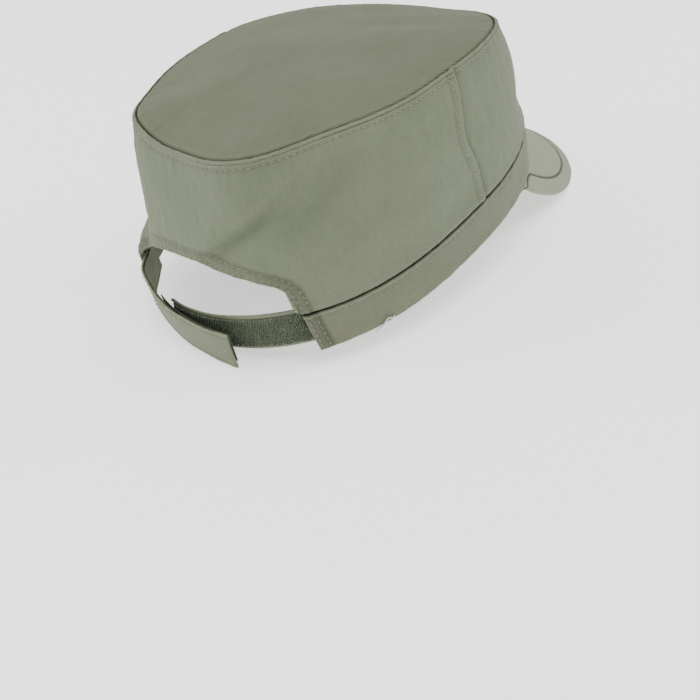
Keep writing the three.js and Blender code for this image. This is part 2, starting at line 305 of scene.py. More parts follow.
WALL_WAVES, WALL_CRINKLES = Ripples(11, 46, 1.6), Ripples(12, 13, 0.8)
TOP_WAVES, TOP_CRINKLES = Ripples(31, 60), Ripples(32, 17)
BAND_WAVES, PEAK_WAVES, TAB_WAVES = Ripples(43, 30, 1.5), Ripples(51, 24), Ripples(71, 20)
WALL_TOP_GATHERS, WALL_FOOT_GATHERS = Gathers(7.5, 6.0, 21), Gathers(9.0, 7.0, 22)
BACK_SEAM_GATHERS, FRONT_SEAM_GATHERS = Gathers(6.5, 5.0, 23), Gathers(6.5, 5.0, 24)
HEM_GATHERS, TOP_GATHERS = Gathers(7.0, 4.0, 25), Gathers(8.0, 9.0, 33)
BAND_FOOT_GATHERS, BAND_TOP_GATHERS = Gathers(11.0, 7.0, 41), Gathers(8.0, 6.0, 42)


@dataclass(frozen=True)
class Fold:
    """A fold of the crown's wall. A depth below zero is a swelling.

    Attributes:
        angle: Where it lies, in degrees.
        level: Where it lies, from 0 at the band to 1 at the top seam.
        slant: Degrees that it moves over for a whole level.
        width: Its half width in degrees.
        length: Its half length in levels.
        depth: How deep it draws the cloth in, in millimetres.
    """

    angle: float
    level: float
    slant: float
    width: float
    length: float
    depth: float


@dataclass(frozen=True)
class Hollow:
    """A soft hollow of the crown's top, in millimetres and degrees."""

    across: float
    along: float
    turn: float
    length: float
    width: float
    depth: float


WALL_FOLDS = (
    Fold(44, 0.7, 96, 11, 0.26, 3.4),
    Fold(57, 0.86, 40, 8, 0.12, 1.4),
    Fold(72, 0.5, 70, 13, 0.34, -1.6),
    Fold(20, 0.75, 0, 13, 0.2, -1.4),
    Fold(-28, 0.2, 0, 24, 0.52, 5),
    Fold(-50, 0.45, 0, 24, 0.4, 4.6),
    Fold(131, 0.32, 0, 12, 0.17, 2.4),
    Fold(168, 0.55, -30, 9, 0.25, 1.8),
    Fold(232, 0.42, 35, 10, 0.25, 2.4),
    Fold(290, 0.55, -60, 9, 0.3, 2.4),
)
FINE_FOLDS = (
    Fold(25, 0.58, 86, 5, 0.26, 2.4),
    Fold(52, 0.66, 90, 5, 0.16, 1.1),
    Fold(12, 0.86, 20, 5, 0.14, 0.4),
    Fold(-14, 0.7, 30, 6, 0.25, 0.6),
    Fold(-50, 0.6, -80, 6, 0.3, 0.8),
    Fold(112, 0.55, -40, 5, 0.22, 0.5),
    Fold(150, 0.75, 50, 6, 0.2, 0.6),
    Fold(205, 0.3, 40, 7, 0.25, 0.8),
    Fold(255, 0.7, -40, 6, 0.22, 0.7),
)
TOP_HOLLOWS = (
    Hollow(-28, -48, 25, 34, 10, 2.2),
    Hollow(30, 46, -40, 30, 9, 2),
    Hollow(34, -30, 70, 30, 12, 1.6),
    Hollow(-22, 62, 10, 20, 7, 1.2),
)
SEAM_LEAN = (19.6, 12.3, 13.3, 8.6, 6.8, 12.6, 11.2, 10.4, 9.6, 10.2, 17.6, 19.2)
SEAM_HEIGHT = (82.3, 86.2, 86.4, 82.0, 77.9, 69.8, 62.2, 62.6, 69.0, 77.6, 82.0, 86.0)


def seam_value(rows: Sequence[float], angle: Points) -> Points:
    """Lean or height of the top seam at angles.

    Args:
        rows: The lean's or the height's table.
        angle: Angles in degrees.

    Returns:
        Values in millimetres.
    """
    place = np.mod(angle, 360.0) / (360.0 / len(rows))
    before = np.floor(place).astype(int)
    return between(rows, before, place - before, True)


def fold_depth(folds: Sequence[Fold], angle: Points, level: Points) -> Points:
    """How deep folds draw the wall in at angles and levels.

    Args:
        folds: The folds.
        angle: Angles in degrees.
        level: Levels up the wall.

    Returns:
        Depths in millimetres.
    """
    depth = np.zeros(np.broadcast(angle, level).shape)
    for fold in folds:
        turned = wrapped(angle - fold.angle)
        climbed = level - fold.level
        beside = (turned - fold.slant * climbed) / fold.width
        depth += fold.depth * np.exp(-(beside**2) - (climbed / fold.length) ** 2)
    inside = np.clip(level, 0, 1)
    return depth * smooth_step(inside, 0, 0.12) * (1 - inside**6)


@dataclass
class Wall:
    """The crown's wall: where its cloth lies, with its seams and its window's hem."""

    band_height: float = 18.7
    seam_gap: float = 0.3
    bulge: float = 2.6
    foot_in: float = 0.5
    window_top: float = 40.0
    window_tilt: float = 0.155
    window_fall: float = 0.0107
    window_half: float = 36.2
    window_side: float = 37.4
    window_corner: float = 5.0
    hem_width: float = 5.4
    hem_rise: float = 0.4
    strip_width: float = 4.6
    hem_edge_row: float = 1.5
    hem_inner_row: float = 4.6
    stitch_from_seam: float = 3.6
    fold_radius: float = 0.9
    lip: float = 0.95
    row_from_top: float = 2.9
    seam_angle: float = 95.4
    seam_sway: float = 2.6
    tuck_in: float = 40.0
    tuck_down: float = 110.0

    @property
    def floor(self) -> float:
        """Height of the wall's foot."""
        return self.band_height + self.seam_gap

    def arch(self, angle: Points) -> Points:
        """Height of the window's arch at angles, before its corners are rounded."""
        return self.window_top + self.window_tilt * angle - self.window_fall * angle**2

    def window_edge(self, angle: Points) -> Points:
        """Height of the window's edge at angles, or of the band beside it.

        Args:
            angle: Angles in degrees.

        Returns:
            Heights in millimetres.
        """
        turned = np.abs(angle)
        start = self.window_half - self.window_corner
        share = np.clip((turned - start) / self.window_corner, 0, 1)
        corner = self.arch(angle) - self.window_corner * (1 - np.sqrt(1 - 0.96 * share**2))
        foot = self.arch(np.sign(angle) * self.window_half) - 0.8 * self.window_corner
        down = np.clip((turned - self.window_half) / (self.window_side - self.window_half), 0, 1)
        side = foot + (self.floor - foot) * down
        return np.maximum(np.where(turned <= self.window_half, corner, side), self.floor)

    def span(self, angle: Points) -> Points:
        """Height of the wall from band to top seam."""
        return seam_value(SEAM_HEIGHT, angle) - self.floor

    def side_seam(self, level: Points, side: float) -> Points:
        """Angle of the seam between the panels, on the right (1) or left (-1)."""
        sway = self.seam_sway * bump(np.clip(level, 0, 1), 0.58, 0.26)
        return side * (self.seam_angle - sway)

    def hem_distance(self, run: Points, height: Points) -> Points:
        """Distance from each place to the window's edge, measured on the cloth.

        Args:
            run: How far round the oval each place lies.
            height: Height of each place.

        Returns:
            Distances in millimetres.
        """
        angles = np.linspace(-self.window_side, self.window_side, 281)
        lower = np.linspace(0.0, 10.0, 9)
        beside = OVAL.run_at(self.window_side) + 0.25 * lower
        edge_run = np.concatenate([OVAL.run_at(angles), beside, -beside])
        edge_height = np.concatenate([self.window_edge(angles), *[self.floor - lower] * 2])
        best = np.full(np.shape(run), FAR)
        for x, z in zip(edge_run, edge_height):
            best = np.minimum(best, np.hypot(run - x, height - z))
        return best

    def inward(self, angle: Points, level: Points, back: bool) -> Points:
        """How far the cloth lies inside its smooth wall.

        Args:
            angle: Angles round the cap.
            level: Levels from 0 at the band to 1 at the top seam.
            back: Whether the cloth belongs to the back panel.

        Returns:
            Distances in millimetres.
        """
        run = OVAL.run_at(wrapped(angle))
        span = self.span(angle)
        down, up = (1 - level) * span, level * span
        depth = fold_depth(WALL_FOLDS, angle, level) + fold_depth(FINE_FOLDS, angle, level)
        inner = smooth_step(up, 0, 10) * smooth_step(down, 0, 8)
        depth -= 0.35 * WALL_WAVES.at(run, up) * inner
        depth -= 0.1 * WALL_CRINKLES.at(run, up) * inner
        # Top seam: the cloth rolls over into it, and its stitches draw a shallow row
        depth += edge_roll(down, self.lip)
        depth -= 0.12 * bump(down, 1.5, 1.0)
        depth += 0.2 * bump(down, self.row_from_top, 0.5)
        depth -= 0.2 * WALL_TOP_GATHERS.at(run, down - self.row_from_top)
        # Foot: the cloth puffs over the band's edge, then runs in behind it
        depth -= 0.45 * bump(up, 3.0, 2.2)
        depth += 1.3 * np.exp(-np.maximum(up, 0) / 0.6)
        depth -= 0.2 * WALL_FOOT_GATHERS.at(run, up) * smooth_step(up, 0, 2)
        # Side seams: the back panel laps over the front one. Past 120 degrees from a seam, the
        # oval's far side would seem to lie near it
        for side in (1.0, -1.0):
            seam = self.side_seam(level, side)
            turned = wrapped(angle - seam)
            away = side * (OVAL.run_at(seam) - OVAL.run_at(seam + turned))
            away = np.where(np.abs(turned) > 120, FAR, away)
            if back:
                depth -= 0.35 * smooth_step(
                    -away, -self.strip_width - 0.5, -self.strip_width + 0.4)
                depth += 0.2 * bump(away, self.stitch_from_seam, 0.5)
                depth += edge_roll(np.maximum(away, 0), self.fold_radius)
                depth -= 0.12 * BACK_SEAM_GATHERS.at(up, away - self.stitch_from_seam)
            else:
                depth += 1.1 * np.exp(-np.abs(away) / 2.2)
                depth -= 0.12 * FRONT_SEAM_GATHERS.at(up, away)
        # Window: a raised hem with two rows of stitches and a rolled edge
        if back:
            edge = self.hem_distance(run, self.floor + up)
            hem = 1 - smooth_step(edge, self.hem_width - 0.4, self.hem_width + 0.5)
            depth -= self.hem_rise * hem
            depth += 0.34 * bump(edge, self.hem_inner_row, 0.45) * hem
            depth += 0.28 * bump(edge, self.hem_edge_row, 0.45)
            depth += edge_roll(edge, self.fold_radius)
            depth -= 0.13 * HEM_GATHERS.at(run, edge - self.hem_width)
        return depth

    def tone(self, angle: Points, level: Points, back: bool) -> Points:
        """How rubbed (above 0) the cloth is at its seams, and how dark (below 0) its painted shade
        is in its seams, stitch rows, folds and foot.

        Args:
            angle: Angles in degrees.
            level: Levels up the wall.
            back: Whether the cloth belongs to the back panel.

        Returns:
            Values from about -1 to 1.
        """
        inside = np.clip(level, 0, 1)
        run = OVAL.run_at(angle)
        up = inside * self.span(angle)
        down = (1 - inside) * self.span(angle)
        side = OVAL.run_at(self.side_seam(inside, 1.0)) - np.minimum(
            np.abs(run), 2 * OVAL.run_at(180.0) - np.abs(run))
        # Rubbed lip at the top seam; painted shade along its stitch row, at the foot where the wall
        # runs behind the band, and past the seam
        tone = 0.25 * np.exp(-np.maximum(down - 0.3, 0) / 0.9)
        tone -= 0.3 * bump(down, self.row_from_top, 0.5)
        tone -= 0.75 * np.exp(-up / 0.6) + 0.9 * (level > 1.001)
        # Painted shade in the valleys of the fine folds
        tone -= 0.07 * np.clip(fold_depth(FINE_FOLDS, angle, inside), 0, 3)
        # Front panel: painted shade where it runs under the back panel's lapped edge
        if not back:
            return tone - 0.6 * np.exp(-np.abs(side) / 0.9)
        # Back panel: a rubbed lapped edge, with painted shade along its stitch row and beside its
        # strip
        tone += 0.3 * np.exp(-np.abs(side) / 0.6)
        tone -= 0.25 * bump(side, self.stitch_from_seam, 0.5)
        tone -= 0.2 * bump(side, self.strip_width + 0.5, 0.5)
        # Window: a rubbed hem edge, the hem strip darker towards the corners, and painted shade
        # along both stitch rows and inside the hem
        edge = self.hem_distance(run, self.floor + up)
        tone += 0.35 * np.exp(-edge / 0.7)
        tone -= (0.14 + 0.16 * smooth_step(np.abs(angle), 25, 33)) * (edge < self.hem_width)
        tone -= 0.25 * bump(edge, self.hem_edge_row, 0.4)
        tone -= 0.25 * bump(edge, self.hem_inner_row, 0.5)
        return tone - 0.3 * bump(edge, self.hem_width + 0.3, 0.4)

    def point(self, angle: Points, level: Points, back: bool) -> Points:
        """Points of the wall's cloth.

        Args:
            angle: Angles round the cap.
            level: Levels from 0 at the band to 1 at the top seam.
            back: Whether the cloth belongs to the back panel.

        Returns:
            Rows of x, y, z.
        """
        inside = np.clip(level, 0, 1)
        past = np.maximum(level - 1, 0)
        swell = self.bulge * np.sin(math.pi * inside) - self.inward(angle, inside, back)
        swell -= self.tuck_in * past
        behind = np.minimum(level, 0) * self.span(angle)
        foot = OVAL.point(angle, swell - self.foot_in, self.floor)
        top = OVAL.point(
            angle, swell - seam_value(SEAM_LEAN, angle), seam_value(SEAM_HEIGHT, angle) + 0.25)
        points = foot + (top - foot) * inside[:, None]
        points[:, 2] += behind - self.tuck_down * past
        return points


@dataclass
class Top:
    """The crown's round top: where its cloth lies."""

    centre_along: float = -3.0
    rise: float = 9.0
    rise_power: float = 0.85
    edge_in: float = 1.05
    tuck_down: float = 100.0
    plane: Triple = field(init=False)

    def __post_init__(self) -> None:
        """Finds the plane that lies closest to the top seam."""
        angles = np.arange(0.0, 360.0, 10.0)
        seam = self.seam(angles)
        height = seam[:, 2].mean()
        slope = [np.mean((seam[:, 2] - height) * seam[:, i]) / np.mean(seam[:, i] ** 2)
                 for i in (0, 1)]
        self.plane = (height, slope[0], slope[1])

    def seam(self, angle: Points) -> Points:
        """Points of the top seam."""
        return OVAL.point(
            angle, -seam_value(SEAM_LEAN, angle), seam_value(SEAM_HEIGHT, angle))

    def level(self, across: Points, along: Points) -> Points:
        """Height of the seam's plane."""
        height, slope_across, slope_along = self.plane
        return height + slope_across * across + slope_along * along

    def point(self, angle: Points, share: Points) -> Points:
        """Points of the top's cloth.

        Args:
            angle: Angles round the cap.
            share: Shares from 0 at the middle to 1 at the seam. Past 1 the cloth
                turns down into the seam, a hundredth for each millimetre.

        Returns:
            Rows of x, y, z.
        """
        seam = OVAL.point(angle, -seam_value(SEAM_LEAN, angle) - self.edge_in,
                          seam_value(SEAM_HEIGHT, angle))
        inside = np.minimum(share, 1.0)
        across = seam[:, 0] * inside
        along = self.centre_along + (seam[:, 1] - self.centre_along) * inside
        lift = (seam[:, 2] - self.level(seam[:, 0], seam[:, 1])) * inside**2
        dome = self.rise * (1 - inside**2) ** self.rise_power
        hollow = np.zeros(np.shape(angle))
        for one in TOP_HOLLOWS:
            turn = math.radians(one.turn)
            x, y = across - one.across, along - one.along
            lengthwise = (x * math.cos(turn) + y * math.sin(turn)) / one.length
            sideways = (y * math.cos(turn) - x * math.sin(turn)) / one.width
            hollow = hollow + one.depth * np.exp(-(lengthwise**2) - sideways**2)
        radius = np.hypot(seam[:, 0], seam[:, 1] - self.centre_along)
        away = (1 - inside) * radius
        run = OVAL.run_at(wrapped(angle))
        ripple = 0.4 * TOP_WAVES.at(across, along) + 0.06 * TOP_CRINKLES.at(across, along)
        ripple = ripple * smooth_step(away, 0, 12)
        gathers = 0.22 * TOP_GATHERS.at(run, away) * smooth_step(away, 0, 2)
        roll = -1.5 * np.exp(-((away / 0.75) ** 2)) + 0.3 * bump(away, 2.1, 1.2)
        height = self.level(across, along) + lift + dome - hollow * (1 - inside**4)
        height += ripple + gathers + roll - np.maximum(share - 1, 0) * self.tuck_down
        return np.column_stack([across, along, height])


@dataclass
class Band:
    """The band round the rim: where its doubled cloth lies."""

    height: float = 18.7
    thickness: float = 2.4
    draw_in: float = 0.6
    end_bottom: float = 40.6
    end_top: float = 37.7
    half_run: float = 195.0
    upper_row: float = 1.7
    hem_width: float = 5.2
    hem_rows: tuple[float, float] = (1.5, 4.3)

    def point(self, share: Points, level: Points) -> Points:
        """Points of the band's outer face.

        Args:
            share: From -1 at its left end round the front to 1 at its right end.
            level: From 0 at the rim to 1 at its upper edge.

        Returns:
            Rows of x, y, z.
        """
        end = self.end_bottom + (self.end_top - self.end_bottom) * level
        girth = OVAL.run_at(180.0)
        run = girth + share * (girth - OVAL.run_at(end))
        angle = OVAL.angle_at(run)
        up = self.height * level
        away = (1 - np.abs(share)) * (girth - OVAL.run_at(end))
        outward = 0.35 - self.draw_in * level
        down = self.height - up
        outward -= edge_roll(np.minimum(np.minimum(up, down), away), 1.0)
        outward -= 0.25 * bump(down, self.upper_row, 0.5)
        outward += 0.12 * BAND_FOOT_GATHERS.at(run, up)
        outward += 0.15 * BAND_TOP_GATHERS.at(run, down)
        inner = smooth_step(up, 0, 5) * smooth_step(down, 0, 5)
        outward += 0.2 * BAND_WAVES.at(run, up) * inner
        hem = 1 - smooth_step(away, self.hem_width - 0.5, self.hem_width + 0.5)
        outward += 0.4 * hem - 0.25 * bump(away, self.hem_rows[1], 0.5)
        outward += 0.5 * bump(away, 0.0, 14.0) * (1 - level) ** 2
        return OVAL.point(angle, outward, up)


def line_distance(points: Points, line: Points) -> Points:
    """Distance from points to a line of straight pieces.

    Args:
        points: The points.
        line: Points along the line.

    Returns:
        Distances in millimetres.
    """
    best = np.full(len(points), FAR)
    for start, end in zip(line[:-1], line[1:]):
        side = end - start
        share = np.clip((points - start) @ side / (side @ side), 0, 1)
        gap = points - start - share[:, None] * side
        best = np.minimum(best, np.sqrt(np.einsum("ij,ij->i", gap, gap)))
    return best


@dataclass
class Peak:
    """The stiff peak: where its upper face lies."""

    half_width: float = 67.5
    side_along: float = -45.0
    tip_along: float = -143.0
    power: float = 2.65
    slope_centre: float = 38.0
    slope_side: float = 45.0
    thickness: float = 2.6
    tuck: float = 2.0
    gap: float = 0.3
    border: float = 8.7
    end_turn: float = 84.0

    def surface(self, turn: Points, share: Points) -> Points:
        """Points of the plain surface, from the band (0) to the outline (1).

        Args:
            turn: How far round the peak, in degrees from its middle.
            share: Shares from the band to the outline.

        Returns:
            Rows of x, y, z in millimetres.
        """
        angle = np.radians(turn)
        across = -self.half_width * signed_power(np.sin(angle), 2 / self.power)
        reach = np.cos(angle) ** (2 / self.power)
        edge = self.side_along + (self.tip_along - self.side_along) * reach
        start = OVAL.front(across, self.tuck)
        along = start + (edge - start) * share
        side_share = (across / self.half_width) ** 2
        slope = self.slope_centre + (self.slope_side - self.slope_centre) * side_share
        run = np.maximum(OVAL.front(across, 0.0) - along, 0)
        return np.column_stack([across, along, -self.gap - run * np.tan(np.radians(slope))])

    def outline(self) -> Points:
        """Points along the peak's free edge."""
        return self.surface(np.linspace(-self.end_turn, self.end_turn, 301), np.ones(301))

    def point(self, turn: Points, share: Points, under: bool) -> Points:
        """Points of the peak's cloth, on its upper or its under side.

        Args:
            turn: How far round the peak, in degrees from its middle.
            share: Shares from the band to the outline.
            under: Whether a place is on the under side.

        Returns:
            Rows of x, y, z in millimetres.
        """
        plain = self.surface(turn, share)
        small = 0.02
        sideways = self.surface(turn + small, share) - self.surface(turn - small, share)
        forward = self.surface(turn, share + small) - self.surface(turn, share - small)
        normal = np.cross(sideways, forward)
        normal /= np.linalg.norm(normal, axis=1)[:, None]
        normal *= np.sign(normal[:, 2:3])
        edge = self.edge_distance(plain)
        groove = 0.7 * bump(edge, self.border, 0.6)
        rim = 0.35 * (1 - smooth_step(edge, self.border - 0.8, self.border + 0.1))
        half = self.thickness / 2
        rounded = edge_roll(line_distance(plain, self.whole_outline()), half)
        on_edge = (np.abs(turn) > self.end_turn - 1e-6) | (share < 1e-6) | (share > 1 - 1e-6)
        rounded = np.where(on_edge, half, rounded)
        lift = rim - groove + 0.07 * PEAK_WAVES.at(plain[:, 0], plain[:, 1])
        root = OVAL.front(plain[:, 0], self.tuck) - plain[:, 1]
        lift = lift * smooth_step(root, 0, 3) + 0.26 * np.exp(-((root / 2.6) ** 2)) * ~under
        lift = np.where(on_edge, 0.0, lift) - rounded
        offset = np.where(under, -self.thickness - lift, lift)
        return plain + normal * offset[:, None]

    def edge_distance(self, points: Points) -> Points:
        """Distance from points of the peak to its free edge."""
        return line_distance(points, self.outline())

    def whole_outline(self) -> Points:
        """Points round the whole peak: its free edge, its ends and its root at the band.

        Returns:
            Rows of x, y, z in millimetres.
        """
        turns = np.linspace(-self.end_turn, self.end_turn, 121)
        shares = np.linspace(0, 1, 13)
        return np.concatenate([
            self.outline(),
            self.surface(np.full(12, self.end_turn), shares[-2::-1]),
            self.surface(turns[-2::-1], np.zeros(120)),
            self.surface(np.full(12, -self.end_turn), shares[1:]),
        ])


@dataclass
class Strap:
    """The strap inside the band's ends, and the tab that closes over it."""

    angles: tuple[float, ...] = (-11, -4, 4, 13, 24, 36, 46)
    foot: tuple[float, ...] = (-3.6, -3.4, -3, -1.2, 0.4, 1.4, 1.6)
    top: tuple[float, ...] = (12.2, 12.2, 14.4, 17, 18.9, 20, 20.2)
    tab_angles: tuple[float, ...] = (-46, -38, -28, -18, -9, 0, 7, 14)
    tab_foot_out: tuple[float, ...] = (-3.5, -3.5, -1.2, -0.6, 0.8, 3.2, 4.0, 5.2)
    tab_top_out: tuple[float, ...] = (-3.6, -3.6, -0.4, 0.6, 2.6, 4.8, 5.6, 5.6)
    tab_foot: tuple[float, ...] = (0.8, 0.8, 0.8, 0.3, -0.7, -2.1, -3.9, -6.4)
    tab_top: tuple[float, ...] = (18.6, 18.6, 18.8, 18.2, 17.1, 16.3, 15.6, 14.9)
    strap_ends: tuple[float, float] = (-11.0, 46.0)
    strap_width: float = 17.0
    tape_ends: tuple[float, float] = (-10.0, 45.0)
    tape_out: float = -3.5
    tape_thickness: float = 1.1
    tab_ends: tuple[float, float] = (-46.0, 14.0)
    tab_width: float = 18.0
    tab_thickness: float = 1.6
    hook_ends: tuple[float, float] = (-12.0, 13.2)
    hook_inward: float = 2.55

    def value(self, stations: Sequence[float], rows: Sequence[float], angle: Points) -> Points:
        """Smooth value of a column at angles.

        Args:
            stations: Angles of the rows.
            rows: The column's values.
            angle: Angles in degrees.

        Returns:
            A value for each angle.
        """
        places = np.asarray(stations, float)
        before = np.clip(np.searchsorted(places, angle, side="left") - 1, 0, len(places) - 2)
        share = (angle - places[before]) / (places[before + 1] - places[before])
        return between(rows, before, share, False)

    def strap_point(self, angle: Points, level: Points, outward: Points) -> Points:
        """Points of the strap between its foot (0) and its top (1).

        Args:
            angle: Angles in degrees.
            level: Levels up the strap.
            outward: Distance outside the rim oval.

        Returns:
            Rows of x, y, z in millimetres.
        """
        foot = self.value(self.angles, self.foot, angle)
        top = self.value(self.angles, self.top, angle)
        return OVAL.point(angle, outward, foot + (top - foot) * level)

    def tab_point(self, angle: Points, level: Points, inward: Points) -> Points:
        """Points of the tab between its foot (0) and its top (1).

        Args:
            angle: Angles in degrees.
            level: Levels up the tab.
            inward: Distance inside the tab's face.

        Returns:
            Rows of x, y, z in millimetres.
        """
        def column(rows: Sequence[float]) -> Points:
            """A column's value at the tab's angles."""
            return self.value(self.tab_angles, rows, angle)

        foot = OVAL.point(angle, column(self.tab_foot_out) - inward, column(self.tab_foot))
        top = OVAL.point(angle, column(self.tab_top_out) - inward, column(self.tab_top))
        turn = math.radians(REST.pitch)
        lowest = (foot[:, 1] * math.sin(turn) - REST.height) / math.cos(turn)
        foot[:, 2] = np.maximum(foot[:, 2], lowest + 0.05)
        return foot + (top - foot) * level[:, None]


# Finishes


class Slot(Enum):
    """The material slots of the part's record."""

    TOP = "crown_top_cloth"
    SIDE = "crown_side_cloth"
    BAND = "band_cloth"
    PEAK = "peak_cloth"
    STRAP = "strap_cloth"
    LOOPS = "loop_pile"
    HOOKS = "hook_tape"


@dataclass
class Board:
    """A node tree that nodes are added to and wired up in."""

    tree: bpy.types.NodeTree

    def feed(self, socket: bpy.types.NodeSocket, value: object) -> None:
        """Wires a socket to another one, or sets it to a number or a colour.

        Args:
            socket: The input to feed.
            value: A socket, a number or a colour.
        """
        if isinstance(value, bpy.types.NodeSocket):
            self.tree.links.new(value, socket)
        else:
            socket.default_value = value

    def add(self, kind: str, values: dict[str | int, object], **settings: object) -> bpy.types.Node:
        """Adds a node.

        Args:
            kind: Its type, without the ShaderNode that it starts with.
            values: Sockets, numbers or colours for its inputs.
            settings: Its own settings.

        Returns:
            The node.
        """
        node = self.tree.nodes.new("ShaderNode" + kind)
        for label, value in settings.items():
            setattr(node, label, value)
        for label, value in values.items():
            self.feed(node.inputs[label], value)
        return node

    def math(self, operation: str, *inputs: object) -> bpy.types.NodeSocket:
        """Adds a Math node on sockets or numbers."""
        return self.add("Math", dict(enumerate(inputs)), operation=operation).outputs[0]

    def noise(self, vector: object, scale: float, detail: float) -> bpy.types.NodeSocket:
        """Adds a Noise Texture and gives its factor."""
        values = {"Scale": scale, "Detail": detail, "Vector": vector}
        return self.add("TexNoise", values).outputs["Fac"]

    def mix(self, factor: object, first: object, second: object) -> bpy.types.NodeSocket:
        """Adds a Mix node for colours and gives its result.

        Args:
            factor: How much of the second colour.
            first: First colour.
            second: Second colour.

        Returns:
            The mixed colour.
        """
        node = self.add("Mix", {}, data_type="RGBA")
        kinds = (("Factor", "VALUE", factor), ("A", "RGBA", first), ("B", "RGBA", second))
        for name, kind, value in kinds:
            socket = next(s for s in node.inputs if s.name == name and s.type == kind)
            self.feed(socket, (*value, 1.0) if isinstance(value, tuple) else value)
        return next(s for s in node.outputs if s.type == "RGBA")

    def bump(self, shader: bpy.types.Node, height: object, strength: float,
             distance: float) -> None:
        """Feeds a height through a Bump node into a shader."""
        values = {"Strength": strength, "Distance": distance, "Height": height}
        self.feed(shader.inputs["Normal"], self.add("Bump", values).outputs[0])

    def ends(self) -> tuple[bpy.types.Node, bpy.types.Node]:
        """The input node and the output node of a group."""
        return self.tree.nodes.new("NodeGroupInput"), self.tree.nodes.new("NodeGroupOutput")


def start_material(name: str, values: dict[str, object]) -> tuple[
        bpy.types.Material, Board, bpy.types.Node]:
    """Starts a material.

    Args:
        name: Its name.
        values: Plain inputs of its shader.

    Returns:
        The material, its board and its shader.
    """
    material = bpy.data.materials.new(name)
    material.use_nodes = True
    board = Board(material.node_tree)
    shader = material.node_tree.nodes["Principled BSDF"]
    for label, value in values.items():
        board.feed(shader.inputs[label], value)
    return material, board, shader


def start_group(name: str, inputs: dict[str, float | None], outputs: Sequence[str]) -> Board:
    """Starts a node group.

    Args:
        name: Its name.
        inputs: Default of each input, or None for a vector.
        outputs: Names of its outputs, all plain values.

    Returns:
        The group's board.
    """
    tree = bpy.data.node_groups.new(name, "ShaderNodeTree")
    for label, default in inputs.items():
        kind = "NodeSocketVector" if default is None else "NodeSocketFloat"
        socket = tree.interface.new_socket(name=label, in_out="INPUT", socket_type=kind)
        if default is not None:
            socket.default_value = default
    for label in outputs:
        tree.interface.new_socket(name=label, in_out="OUTPUT", socket_type="NodeSocketFloat")
    return Board(tree)


def twill_group() -> bpy.types.NodeTree:
    """Twill weave: diagonal ribs of short floats, uneven yarns and a little fuzz.

    Returns:
        A group with a Height for the bump and a Tone for the colour.
    """
    inputs = {"Vector": None, "Ribs per metre": 1250.0, "Slant": 0.62}
    board = start_group("twill_weave", inputs, ["Height", "Tone"])
    start, end = board.ends()
    vector, ribs = start.outputs["Vector"], start.outputs["Ribs per metre"]
    across, climb, _ = board.add("SeparateXYZ", {0: vector}).outputs
    sway = board.math("MULTIPLY", board.noise(vector, 240.0, 2.0), 0.9)
    slanted = board.math("MULTIPLY_ADD", climb, start.outputs["Slant"], across)
    phase = board.math("MULTIPLY_ADD", slanted, ribs, sway)
    rib = board.math("SINE", board.math("MULTIPLY", phase, 2 * math.pi))
    yarn = board.math("SINE", board.math("MULTIPLY", board.math("MULTIPLY", climb, ribs), 7.2))
    woven = board.math("MULTIPLY_ADD", yarn, 0.12, board.math("MULTIPLY_ADD", rib, 0.36, 0.5))
    stretch = board.add("Mapping", {"Scale": (1.0, 0.12, 1.0), "Vector": vector})
    slub = board.noise(stretch.outputs[0], 900.0, 2.0)
    fuzz = board.noise(vector, 2600.0, 2.0)
    rough = board.math("MULTIPLY_ADD", slub, 0.5, woven)
    board.feed(end.inputs["Height"], board.math("MULTIPLY_ADD", fuzz, 0.35, rough))
    grain = board.math("MULTIPLY_ADD", slub, 0.3, board.math("MULTIPLY", woven, 0.6))
    board.feed(end.inputs["Tone"], board.math("MULTIPLY_ADD", fuzz, 0.25, grain))
    return board.tree


def fade_group() -> bpy.types.NodeTree:
    """Uneven dye and soft handling marks over a whole cloth.

    Returns:
        A group with a Cloud for the colour and a Rub for its rubbed specks.
    """
    board = start_group("uneven_dye", {"Vector": None, "Wear": 0.0}, ["Cloud", "Rub"])
    start, end = board.ends()
    vector = start.outputs["Vector"]
    broad = board.math("MULTIPLY", board.noise(vector, 22.0, 3.0), 0.65)
    cloud = board.math("MULTIPLY_ADD", board.noise(vector, 95.0, 4.0), 0.35, broad)
    board.feed(end.inputs["Cloud"], cloud)
    speck = board.math("SUBTRACT", board.noise(vector, 700.0, 3.0), 0.28)
    rub = board.math("MULTIPLY", start.outputs["Wear"], board.math("MULTIPLY", speck, 2.6))
    board.feed(end.inputs["Rub"], board.math("MAXIMUM", rub, 0.0))
    return board.tree


TWILL = twill_group()
FADE = fade_group()


def linear(red: int, green: int, blue: int) -> Triple:
    """A screen colour as linear light.

    Args:
        red: Red, from 0 to 255.
        green: Green.
        blue: Blue.

    Returns:
        The three channels, from 0 to 1.
    """
    def one(value: int) -> float:
        """One channel as linear light."""
        share = value / 255
        return share / 12.92 if share <= 0.04045 else ((share + 0.055) / 1.055) ** 2.4

    return one(red), one(green), one(blue)


